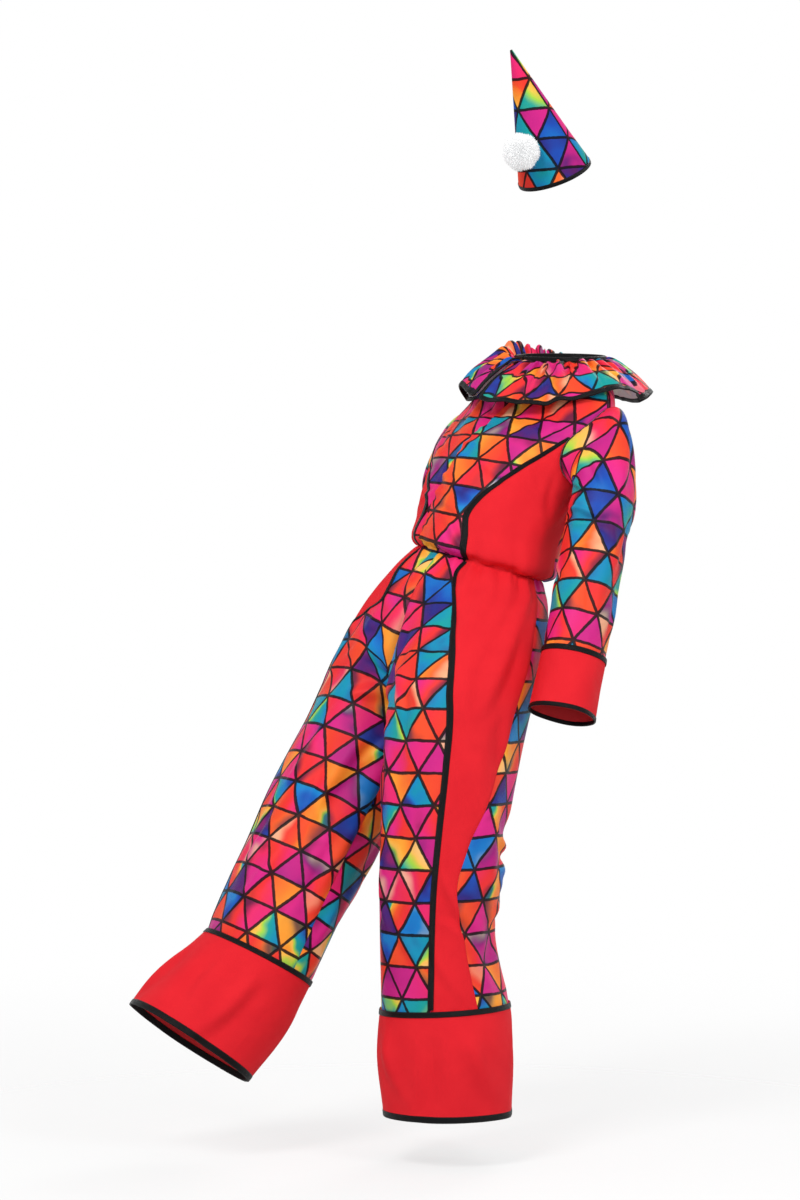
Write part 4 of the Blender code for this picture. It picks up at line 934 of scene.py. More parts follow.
@dataclass(frozen=True)
class Trunk(Draped):
    """The bodice's form: turn 0 is the wearer's left and -90 the front; v runs from the waist to the neck."""

    stations: Stations = Stations("v y z half_width front back dip_left dip_back square", (
        (0.0, -0.148, -0.29, 0.097, 0.075, 0.072, -0.2, -0.21, 2.0),
        (0.08, -0.146, -0.283, 0.112, 0.088, 0.085, -0.2, -0.21, 2.0),
        (0.25, -0.134, -0.247, 0.113, 0.089, 0.086, -0.16, -0.2, 2.0),
        (0.5, -0.106, -0.188, 0.121, 0.088, 0.086, -0.1, -0.22, 2.1),
        (0.7, -0.076, -0.132, 0.134, 0.078, 0.078, -0.06, -0.22, 2.2),
        (0.84, -0.043, -0.085, 0.137, 0.061, 0.068, -0.04, -0.15, 2.05),
        (0.93, -0.016, -0.041, 0.104, 0.062, 0.06, -0.02, -0.08, 2.0),
        (0.97, -0.005, -0.02, 0.075, 0.059, 0.058, 0.0, 0.0, 2.0),
        (1.0, 0.0, -0.0046, 0.064, 0.055, 0.054, 0.0, 0.0, 2.0),
    ))
    folds: Folds = Folds((0.0018, -0.33), (
        (-56, 0.66, 62, 50, 14, 3), (-64, 0.3, 78, 60, 15, -3), (-112, 0.5, 100, 70, 18, -3.5),
        (-22, 0.2, 82, 50, 18, 3), (8, 0.3, 96, 60, 18, -3.5), (52, 0.28, 74, 60, 22, 4.5),
        (78, 0.4, 88, 70, 22, -4), (104, 0.3, 100, 70, 22, 4.5), (134, 0.26, 96, 60, 22, -3.5),
        (160, 0.4, 84, 60, 20, 3), (-137, 0.13, 90, 55, 45, -6),
    ))
    creases: Folds = Folds((0.0018, -0.33), (
        (-98, 0.86, 62, 30, 5, 2.6, 4), (-78, 0.84, 50, 36, 6, -2.4, -4), (-116, 0.82, 70, 40, 6.5, 2.6, 3),
        (-128, 0.7, 58, 36, 6, -2.2, 5), (-66, 0.55, 34, 34, 6, 2, 4), (-52, 0.74, 24, 28, 5, 2.4, -5),
        (-46, 0.8, 40, 26, 4.5, -2, 3), (-90, 0.44, 28, 34, 6, 2, 5), (-84, 0.3, 38, 36, 6.5, -2.2, -4),
        (-72, 0.18, 60, 30, 6, 2.4, 3), (-120, 0.36, 150, 36, 6.5, 2.2, 4), (-138, 0.48, 140, 34, 6, -2, -3),
        (-30, 0.5, 52, 34, 6, 2, 4), (-12, 0.46, 70, 34, 6.5, -2, 3), (14, 0.48, 104, 30, 5.5, 2.2, -4),
        (30, 0.52, 130, 34, 6, -2.4, 4), (44, 0.62, 150, 36, 6, 2.6, -3), (62, 0.76, 120, 34, 6, -2.2, 4),
        (74, 0.58, 26, 42, 7, 2.2, -3), (92, 0.2, 8, 50, 7.5, -2.6, 2), (88, 0.12, -6, 50, 7, 2.8, -3),
        (112, 0.68, 80, 40, 6.5, 2, 4), (128, 0.56, 48, 40, 6.5, -2.2, -4), (142, 0.66, 34, 36, 6, 2.4, 3),
        (156, 0.52, 60, 34, 6, -2.2, -4), (172, 0.46, 92, 34, 6, 2, 3),
    ), beside=0.4)
    waves: tuple[Wave, ...] = (
        Wave(5, 0.001, 20.0, 1.6), Wave(9, 0.0007, 70.0, -2.4), Wave(14, 0.0004, 140.0, 3.8))
    tight: Gathers = Gathers(64, 0.0043, 0.012, 3)
    loose: Gathers = Gathers(21, 0.005, 0.04, 11)
    length: float = 0.33
    crease_strength: float = 1.35
    folds_on: tuple[Pair, Pair] = (0.0, 0.1), (0.7, 0.86)
    creases_on: tuple[Pair, Pair] = (0.0, 0.06), (0.9, 0.99)
    lap: Stations = Stations("v turn", ((0.0, -108.0), (0.45, -101.0), (0.8, -91.0), (1.0, -88.0)))
    lap_depth: float = 0.0032
    lap_edge: Pair = (-8.5, -1.5)
    armhole_turn: float = 5.0
    armhole_half_turn: float = 29.0
    armhole_height: float = 0.712
    armhole_half_height: float = 0.148
    neck_sink: float = 0.0008

    def plain(self, turn: Array, v: Array) -> Array:
        """The form without its folds."""
        read = self.stations.at
        side, ahead = superellipse(np.radians(turn), read("square", v))
        depth = np.where(ahead < 0, read("front", v), read("back", v))
        x = read("half_width", v) * side
        y = depth * ahead
        z = read("z", v) + read("dip_left", v) * x + read("dip_back", v) * y
        z = z + (neck_tilt(x, y) - self.neck_sink) * ease(0.88, 0.985, v)
        return stack(x, y + read("y", v), z)

    def surface(self, turn: Array, v: Array) -> Array:
        """The outside of the bodice's cloth, with its folds and the waist's gathers."""
        turn, v = np.broadcast_arrays(turn, v)
        away = v * self.length
        height = self.relief(turn, v) + self.tight.height(turn, away) + self.loose.height(turn, away)
        return self.plain(turn, v) + height[..., None] * normals(self.plain, turn, v)

    def under(self, turn: Array, v: Array) -> Array:
        """The bodice where the right front passes under the left one."""
        turn, v = np.broadcast_arrays(turn, v)
        past = turn - self.lap.at("turn", v)
        depth = self.lap_depth * ease(*self.lap_edge, past)
        return self.surface(turn, v) - depth[..., None] * normals(self.plain, turn, v)

    def armhole(self, turn: Array) -> tuple[Array, Array]:
        """Turn and height on the bodice of the left armhole: 0 is its top, -90 its front, 180 below."""
        angle = np.radians(turn)
        round_body = self.armhole_turn + self.armhole_half_turn * np.sin(angle)
        return round_body, self.armhole_height + self.armhole_half_height * np.cos(angle)

    def armhole_points(self, turn: Array, side: Side) -> Array:
        """Points of an armhole's edge."""
        round_body, height = self.armhole(turn)
        return self.surface(side.turned(round_body), height)


@dataclass(frozen=True)
class Bodice:
    """The lapped fronts, red side panels, back and taped front seams."""

    trunk: Trunk
    rows_below: int = 84
    rows_grow: float = 1.15
    rows_armhole: int = 46
    rows_shoulder: int = 24
    columns_front: int = 62
    columns_side: int = 52
    columns_back: int = 128
    seam: Stations = Stations("v turn", (
        (0.0, -61.5), (0.18, -64.0), (0.31, -68.0), (0.42, -61.5), (0.54, -49.0), (0.73, -28.0)))
    underlap_turn: float = 20.0
    side_turn_at_waist: float = 24.0
    shoulder_turn: float = 2.0
    tape_joins: float = -82.0
    side_joins: float = 128.0
    tape_turn: float = 2.4
    tape_columns: int = 9
    tape_joins_wide: float = 7.0
    tape_short: float = 0.01
    puckers: Gathers = Gathers(23, 0.0048, 0.02, 29)
    puckers_start: float = 0.004
    puckers_end: Pair = (0.86, 0.97)
    print_shift: Pair = (0.013, 0.021)
    back_shift: Pair = (0.007, 0.0)

    def low(self) -> Array:
        """Shares of the way from the waist up to the armhole."""
        return shares(self.rows_below) ** self.rows_grow

    def heights(self, joins: float) -> Array:
        """Heights of the rows at an edge that meets the armhole at a turn."""
        round_it = np.linspace(joins, 0.0, self.rows_armhole + 1)
        top = np.linspace(self.trunk.armhole(0.0)[1], 1.0, self.rows_shoulder + 1)
        below = self.low()[:-1] * self.trunk.armhole(joins)[1]
        return np.concatenate([below, self.trunk.armhole(round_it)[1], top[1:]])

    def above(self, joins: float) -> Array:
        """Turns of an edge round the armhole and along the shoulder."""
        round_it = self.trunk.armhole(np.linspace(joins, 0.0, self.rows_armhole + 1))[0]
        shoulder = np.linspace(self.trunk.armhole(0.0)[0], self.shoulder_turn, self.rows_shoulder + 1)
        return np.concatenate([round_it, shoulder[1:]])

    def front_edge(self) -> Array:
        """Turns of the left front's outer edge: the taped seam, armhole and shoulder."""
        corner, height = self.trunk.armhole(self.tape_joins)
        heights = self.heights(self.tape_joins)[:self.rows_below]
        miss = corner - self.seam.at("turn", height)
        return np.concatenate([self.seam.at("turn", heights) + miss * self.low()[:-1] ** 3,
                               self.above(self.tape_joins)])

    def back_edge(self) -> Array:
        """Turns of the back's left edge: side seam, armhole and shoulder."""
        corner = self.trunk.armhole(self.side_joins)[0]
        side = self.side_turn_at_waist + (corner - self.side_turn_at_waist) * self.low()[:-1]
        return np.concatenate([side, self.above(self.side_joins)])

    def front(self, side: Side, finish: Wardrobe) -> Shell:
        """One front, from its edge in the lap to the taped seam."""
        heights, edge = self.heights(self.tape_joins), self.front_edge()
        opening = self.trunk.lap.at("turn", heights)
        under = side is Side.RIGHT
        if under:
            opening, edge = opening + self.underlap_turn, -180.0 - edge
        share = shares(self.columns_front)
        turns = opening[:, None] + (edge - opening)[:, None] * share
        ways = np.repeat(heights[:, None], len(share), axis=1)
        points = (self.trunk.under if under else self.trunk.surface)(turns, ways)
        if not under:
            away = lengths(points, 1)
            pucker = -self.puckers.height(360.0 * ways, away + self.puckers_start)
            pucker = pucker * (1 - ease(*self.puckers_end, ways))
            points = points + pucker[..., None] * normals(self.trunk.plain, turns, ways)
        sewn = Sewn(last_row=True, last_column=True)
        return Shell(f"bodice_front_{side.word}", points, side.value, finish.printed, Held.GATHERED,
                     sewn=sewn, butted=True, shift=(self.print_shift[0] * side.value, self.print_shift[1]),
                     cut=laid_flat(self.trunk.plain, turns, ways, -90.0, points))

    def side(self, side: Side, finish: Wardrobe) -> Shell:
        """One red side panel, from the waist up to the armhole."""
        count = self.rows_below + 1
        low = self.low()[:, None]
        share = shares(self.columns_side)
        round_it = np.linspace(self.tape_joins, self.side_joins - 360.0, self.columns_side + 1)
        top_turn, top_height = self.trunk.armhole(round_it)
        grids = []
        for left, right, top in (
            (self.front_edge()[:count], self.back_edge()[:count], top_turn),
            (self.heights(self.tape_joins)[:count], self.heights(self.side_joins)[:count], top_height),
        ):
            straight = left[:, None] + (right - left)[:, None] * share
            grids.append(straight + low * (top - straight[-1]))
        turns, ways = grids
        points = self.trunk.surface(side.turned(turns), ways)
        return Shell(f"bodice_side_{side.word}", points, side.value, finish.red, Held.GATHERED,
                     sewn=Sewn(False, True, True, True), butted=True)

    def back(self, finish: Wardrobe) -> Shell:
        """The back, in one piece."""
        rear, heights = self.back_edge(), self.heights(self.side_joins)
        share = shares(self.columns_back)
        turns = rear[:, None] + (180.0 - 2 * rear)[:, None] * share
        points = self.trunk.surface(turns, heights[:, None])
        return Shell("bodice_back", points, 1.0, finish.printed, Held.GATHERED,
                     sewn=Sewn(False, True, True, True), butted=True, shift=self.back_shift,
                     cut=laid_flat(self.trunk.plain, turns, heights[:, None], 90.0, points))

    def tape(self, side: Side, finish: Wardrobe) -> Shell:
        """The tape over the curved front seam."""
        count = self.rows_below + 1
        across = np.linspace(-1.0, 1.0, self.tape_columns)
        turns = self.front_edge()[:count, None] + self.tape_turn * across
        heights = np.repeat(self.heights(self.tape_joins)[:count, None], len(across), axis=1)
        joins = self.tape_joins - self.tape_joins_wide * np.maximum(across, 0.0)
        end_turn, end_height = self.trunk.armhole(joins)
        end_turn = np.where(across < 0, turns[-1], end_turn)
        near_end = ease(0.9, 1.0, self.low())[:, None]
        turns = turns + near_end * (end_turn - turns[-1])
        heights = heights + near_end * (end_height - heights[-1])
        heights = heights * (1 - self.tape_short) + self.tape_short * heights[-1]
        points = self.trunk.surface(side.turned(turns), heights)
        return flat_tape(f"bodice_tape_{side.word}", points, side.value, finish.tape)

    def build(self, finish: Wardrobe) -> None:
        """Makes the bodice's pieces."""
        for side in Side:
            for shell in (self.front(side, finish), self.side(side, finish), self.tape(side, finish)):
                shell.build()
        self.back(finish).build()


def flat_tape(name: str, points: Array, sign: float, material: Material) -> Shell:
    """A tape that lies on the cloth, with soft edges and a margin turned under along both.

    Args:
        name: the piece's name.
        points: the cloth under the tape, with the tape's width across the columns.
        sign: as for a shell.
        material: the tape's finish.

    Returns:
        The tape's shell.
    """
    across = np.linspace(-1.0, 1.0, points.shape[1])
    full = np.clip(1.0 - np.abs(across) ** 6, 0.12, 1.0) * np.ones(points.shape[:2])
    width, length = greatest_lengths(points)
    return Shell(name, points, sign, Cloth(material, material, "black_tape"), Held.STRETCHED,
                 wall=TAPE_WALL, lift=TAPE_LIFT + TAPE_WALL * full, flat=(TAPE_MARGINS * width, length))


# ---- sleeves


@dataclass(frozen=True)
class Sleeve(Draped):
    """One sleeve with its red cuff, the tape on the cuff's seam and the hem's binding."""

    trunk: Trunk
    side: Side
    stations: Stations
    creases: Folds
    folds: Folds = Folds((0.00073, 0.35), (
        (-70, 0.3, 28, 30, 14, -2.8), (-96, 0.46, 18, 30, 13, 2.6), (-60, 0.6, -14, 32, 14, -2.8),
        (120, 0.4, -24, 30, 14, 2.8), (80, 0.58, 16, 30, 15, -2.8), (-120, 0.8, 24, 30, 14, 2.4),
        (20, 0.78, -20, 30, 16, -2.2),
    ))
    crease_strength: float = 1.4
    folds_on: tuple[Pair, Pair] = (0.04, 0.2), (0.93, 1.0)
    creases_on: tuple[Pair, Pair] = (0.02, 0.14), (0.95, 1.0)
    waves: tuple[Wave, ...] = (
        Wave(3, 0.0011, 40.0, 1.2), Wave(5, 0.0009, 110.0, -2.0), Wave(9, 0.0004, 20.0, 3.0))
    cap: Gathers = Gathers(30, 0.0022, 0.012, 5)
    wrist: Gathers = Gathers(22, 0.0014, 0.012, 17)
    cap_end: float = 0.34
    leaves_top: Triple = (0.12, 0.02, 0.05)
    leaves_under: Triple = (0.064, 0.0, -0.068)
    length: float = 0.35
    rows: int = 128
    rows_grow: float = 1.1
    columns: int = 104
    print_shift: float = 0.017
    cuff_length: float = 0.08
    cuff_growth: float = 0.0015
    cuff_overlap: float = 0.0015
    cuff_flare: float = 0.0029
    cuff_rows: int = 34
    cuff_waves: tuple[Wave, ...] = (
        Wave(2, 0.0012, 30.0, 0.6), Wave(3, 0.0011, 100.0, -0.8), Wave(5, 0.0006, 10.0, 1.4))
    binding_width: float = 0.006

    @property
    def mirror(self) -> Array:
        """Factors that mirror the right sleeve."""
        return np.array([self.side.value, 1.0, 1.0])

    def centre(self, s: Array) -> Array:
        """The middle of a section."""
        return np.stack([self.stations.at(c, s) for c in "xyz"], -1)

    def directions(self, s: Array) -> tuple[Array, Array, Array]:
        """Directions of a section: along the sleeve, outwards and backwards."""
        ahead = unit(self.centre(s + 0.02) - self.centre(s - 0.02))
        out = unit(np.array([1.0, 0.0, 0.0]) - ahead * ahead[..., :1])
        return ahead, out, np.cross(out, ahead)

    def ring(self, turn: Array, s: Array) -> Array:
        """Points round a section."""
        angle = np.radians(turn)
        _, out, back = self.directions(s)
        wide = (self.stations.at("half_width", s) * np.cos(angle))[..., None]
        deep = (self.stations.at("half_depth", s) * np.sin(angle))[..., None]
        return (self.centre(s) + wide * out + deep * back) * self.mirror

    def plain(self, turn: Array, s: Array) -> Array:
        """The sleeve's form: a cap from the armhole, then the sections."""
        turn, s = np.broadcast_arrays(turn, s)
        end = np.full_like(s, self.cap_end, dtype=float)
        arrive = (self.ring(turn, end + 0.01) - self.ring(turn, end - 0.01)) * self.cap_end / 0.02
        top = (0.5 + 0.5 * np.cos(np.radians(turn)))[..., None]
        leave = (top * np.array(self.leaves_top) + (1 - top) * np.array(self.leaves_under)) * self.mirror
        t = np.clip(s / self.cap_end, 0.0, 1.0)[..., None]
        hole = self.trunk.armhole_points(turn[:1], self.side)
        return np.where(t < 1, hermite(t, hole, leave, self.ring(turn, end), arrive), self.ring(turn, s))

    def surface(self, turn: Array, s: Array) -> Array:
        """The outside of the sleeve's cloth."""
        turn, s = np.broadcast_arrays(turn, s)
        height = self.relief(turn, s) + self.cap.height(turn, s * self.length)
        height = height + self.wrist.height(turn, (1 - s) * self.length)
        return self.plain(turn, s) + (-self.side.value * height)[..., None] * normals(self.plain, turn, s)

    def cuff(self, turn: Array, t: Array) -> Array:
        """The outside of the cuff, straight on from the sleeve's end and a little wider."""
        turn, t = np.broadcast_arrays(turn, t)
        angle, end = np.radians(turn), np.ones_like(t, dtype=float)
        ahead, out, back = self.directions(end)
        grow = self.cuff_growth + self.cuff_flare * t + drape(self.cuff_waves, turn, t) * ease(0.06, 0.6, t)
        wide = ((self.stations.at("half_width", end) + grow) * np.cos(angle))[..., None]
        deep = ((self.stations.at("half_depth", end) + grow) * np.sin(angle))[..., None]
        reach = (self.cuff_length * t - self.cuff_overlap)[..., None]
        return (self.centre(end) + reach * ahead + wide * out + deep * back) * self.mirror

    def laid(self, turns: Array, ways: Array) -> Array:
        """Places of the sleeve's points on its cloth, in metres across and up its grain."""
        turns = np.append(turns, turns[0] + 360.0)
        grid, far = np.meshgrid(turns, ways)
        girth = math.pi * (self.stations.at("half_width", far) + self.stations.at("half_depth", far))
        front = len(turns) // 2 - len(turns) // 6
        down = lengths(self.plain(grid, far), 0)[:, [front]]
        return np.stack([girth * (grid + 90.0) / 360.0, -down * np.ones_like(grid)], axis=-1)

    def build(self, finish: Wardrobe) -> None:
        """Makes the sleeve's pieces."""
        turns = np.linspace(-180.0, 180.0, self.columns, endpoint=False)
        grid, ways = np.meshgrid(turns, shares(self.rows) ** self.rows_grow)
        Shell(f"sleeve_{self.side.word}", self.surface(grid, ways), -self.side.value, finish.printed,
              closed=True, sewn=Sewn(first_row=True), shift=(self.print_shift * self.side.value, 0.0),
              cut=self.laid(turns, ways[:, 0])).build()
        points = self.cuff(*np.meshgrid(turns, shares(self.cuff_rows)))
        sew_cuff("sleeve", self.side, points, self.binding_width, finish)


def sew_cuff(limb: str, side: Side, points: Array, binding: float, finish: Wardrobe) -> None:
    """Makes a red cuff, the tape round its top edge and the binding of its hem.

    Args:
        limb: the first word of the names.
        side: the side it is on.
        points: the cuff's outside, from its seam down.
        binding: the binding's width.
        finish: the finishes.
    """
    cuff = Shell(f"{limb}_cuff_{side.word}", points, -side.value, finish.red, closed=True)
    cuff.build()
    out = cuff.outwards(points)
    down = unit(points[2] - points[0])
    middle = points[0] + NARROW_TAPE / 2 * down + (TAPE_LIFT + TAPE_WALL / 2) * out[0]
    Band(f"{limb}_cuff_tape_{side.word}", middle, down, out[0], NARROW_TAPE, TAPE_WALL * 1.2,
         finish.tape_narrow).build()
    down = unit(points[-1] - points[-3])
    middle = points[-1] + (binding / 2 - BINDING_GRIP) * down - CLOTH_WALL / 2 * out[-1]
    Band(f"{limb}_hem_binding_{side.word}", middle, down, out[-1], binding, BINDING_WALL,
         finish.tape_hem).build()


# ---- trousers


@dataclass(frozen=True)
class Hips:
    """The form round both hips, from the waist seam to the crotch."""

    stations: Stations = Stations("s y z half_width front back dip_left dip_back", (
        (0.0, -0.148, -0.29, 0.097, 0.075, 0.072, -0.2, -0.21),
        (0.05, -0.163, -0.318, 0.12, 0.087, 0.083, -0.16, -0.19),
        (0.11, -0.185, -0.352, 0.136, 0.093, 0.094, -0.1, -0.16),
        (0.2, -0.213, -0.405, 0.149, 0.098, 0.102, -0.04, -0.1),
        (0.31, -0.236, -0.47, 0.158, 0.108, 0.106, 0.0, 0.0),
    ))
    crotch: float = 0.31
    crotch_point: Triple = (0.0, -0.236, -0.492)

    def points(self, turn: Array, s: Array, side: float) -> Array:
        """Points round both hips: turn 0 is the outer side, -180 the centre front, 180 the centre back."""
        read = self.stations.at
        angle = np.radians(turn / 2)
        depth = np.where(turn < 0, read("front", s), read("back", s))
        x = side * read("half_width", s) * np.cos(angle)
        y = depth * np.sin(angle)
        z = read("z", s) + read("dip_left", s) * x + read("dip_back", s) * y
        return stack(x, y + read("y", s), z)

    def middle(self, turn: Array, s: Array) -> Array:
        """The centre seam, which curves in under the body to the crotch."""
        bend = np.clip(s / self.crotch, 0.0, 1.0) ** 3
        edge = self.points(turn, s, 1.0)
        edge[..., 0] = 0.0
        return edge + bend[..., None] * (np.array(self.crotch_point) - edge)


@dataclass(frozen=True)
class TrouserLeg(Draped):
    """One half of the trousers with its taped seam, its red cuff and the cuff's trims."""

    side: Side
    stations: Stations
    seams: Stations
    folds: Folds
    creases: Folds
    cuff_stations: Stations
    cuff_creases: Folds
    hips: Hips = Hips()
    crease_strength: float = 1.4
    folds_on: tuple[Pair, Pair] = (0.0, 0.05), (0.95, 1.0)
    creases_on: tuple[Pair, Pair] = (0.0, 0.05), (0.96, 1.0)
    waves: tuple[Wave, ...] = (
        Wave(4, 0.0012, 30.0, 1.5), Wave(7, 0.0009, 100.0, -2.2), Wave(12, 0.0005, 60.0, 4.0))
    tight: Gathers = Gathers(30, 0.0038, 0.016, 41)
    loose: Gathers = Gathers(12, 0.0064, 0.062, 43)
    ankle: Gathers = Gathers(26, 0.0018, 0.016, 47)
    length: float = 0.6
    rows_above: int = 62
    rows_below: int = 106
    columns: tuple[int, int, int] = (58, 40, 74)
    print_shift: float = 0.011
    tape_turn: float = 2.9
    tape_columns: int = 9
    tape_shorter: Pair = (0.0108, 0.005)
    cuff_rows: int = 40
    cuff_crease_strength: float = 1.7
    cuff_waves: tuple[Wave, ...] = (
        Wave(2, 0.0022, 60.0, 0.8), Wave(3, 0.002, 10.0, -1.0), Wave(5, 0.0012, 130.0, 1.6))
    binding_width: float = 0.009

    def leg(self, turn: Array, s: Array) -> Array:
        """Points round the leg: turn 0 is the outer side, -90 the front."""
        read = self.stations.at
        angle = np.radians(turn)
        depth = np.where(np.sin(angle) < 0, read("front", s), read("back", s))
        x = read("half_width", s) * np.cos(angle)
        y = depth * np.sin(angle)
        z = read("z", s) - read("rise_front", s) * y + read("rise_out", s) * x
        return stack(self.side.value * (x + read("x", s)), y + read("y", s), z)

    def blended(self, turn: Array, s: Array) -> Array:
        """Hips that turn into a leg."""
        share = ease(0.02, self.hips.crotch, s)[..., None]
        return (1 - share) * self.hips.points(turn, s, self.side.value) + share * self.leg(turn, s)

    def plain(self, turn: Array, s: Array) -> Array:
        """The form without its folds."""
        turn, s = np.broadcast_arrays(turn, s)
        seam = np.where(turn < 0, -180.0, 180.0)
        above = np.minimum(s, self.hips.crotch)
        pull = self.hips.middle(seam, above) - self.blended(seam, above)
        near = ease(95.0, 180.0, np.abs(turn)) * (1 - ease(self.hips.crotch, self.hips.crotch + 0.2, s))
        return self.blended(turn, s) + near[..., None] * pull

    def surface(self, turn: Array, s: Array) -> Array:
        """The outside of the trousers' cloth."""
        turn, s = np.broadcast_arrays(turn, s)
        crotch = self.hips.crotch
        at_middle = 1 - ease(crotch, crotch + 0.08, s)
        height = self.relief(turn, s) * (1 - ease(150.0, 180.0, np.abs(turn)) * at_middle)
        near = self.tight.height(turn, s * self.length) + self.loose.height(turn, s * self.length)
        near = near * (1 - ease(170.0, 180.0, np.abs(turn)) * at_middle)
        height = height + near + self.ankle.height(turn, (1 - s) * self.length)
        points = self.plain(turn, s) + (-self.side.value * height)[..., None] * normals(self.plain, turn, s)
        least = SEAM * ease(crotch - 0.01, crotch + 0.02, s)
        points[..., 0] = self.side.value * np.maximum(self.side.value * points[..., 0], least)
        return points

    def cuff(self, turn: Array, t: Array) -> Array:
        """The outside of the cuff."""
        turn, t = np.broadcast_arrays(turn, t)
        read = self.cuff_stations.at
        height = drape(self.cuff_waves, turn, t)
        height = height + self.cuff_crease_strength * self.cuff_creases.height(turn, t)
        height = height * ease(0.05, 0.4, t)
        angle = np.radians(turn)
        x = (read("half_width", t) + height) * np.cos(angle)
        y = (read("half_depth", t) + height) * np.sin(angle)
        z = read("z", t) - read("rise_front", t) * y + read("rise_out", t) * x
        return stack(self.side.value * (x + read("x", t)), y + read("y", t), z)

    def build(self, finish: Wardrobe) -> None:
        """Makes the leg's pieces."""
        above = np.linspace(0.0, self.hips.crotch, self.rows_above + 1)
        rows = np.concatenate([above, np.linspace(self.hips.crotch, 1.0, self.rows_below + 1)[1:]])
        tape, rear = self.seams.at("tape", rows), self.seams.at("side", rows)
        before, behind = np.full_like(rows, -180.0), np.full_like(rows, 180.0)
        panels = (("front", before, tape, -90.0, 0, (0.0, 0.0)), ("side", tape, rear, None, None, (0.3, 0.0)),
                  ("back", rear, behind, 90.0, -1, (0.0, 0.019)))
        for (panel, start, end, grain, seam, shift), columns in zip(panels, self.columns):
            turns = start[:, None] + (end - start)[:, None] * shares(columns)
            points = self.surface(turns, rows[:, None])
            name, sewn = f"trouser_{panel}_{self.side.word}", Sewn(False, False, True, True)
            shell = Shell(name, points, -self.side.value, finish.printed, Held.GATHERED, sewn=sewn,
                          butted=True, shift=(self.print_shift * self.side.value + shift[0], shift[1]))
            if grain is None:
                shell.cloth = finish.red
            else:
                shell.meets = seam, self.rows_above + 1
                shell.cut = laid_flat(self.plain, turns, rows[:, None], grain, points)
            shell.build()
        less, later = self.tape_shorter
        turns = tape[:, None] + self.tape_turn * np.linspace(-1.0, 1.0, self.tape_columns)
        points = self.surface(turns, (rows * (1 - less) + later)[:, None])
        flat_tape(f"trouser_tape_{self.side.word}", points, -self.side.value, finish.tape).build()
        turns = np.linspace(-180.0, 180.0, sum(self.columns), endpoint=False)
        points = self.cuff(*np.meshgrid(turns, shares(self.cuff_rows)))
        sew_cuff("trouser", self.side, points, self.binding_width, finish)


# ---- collar


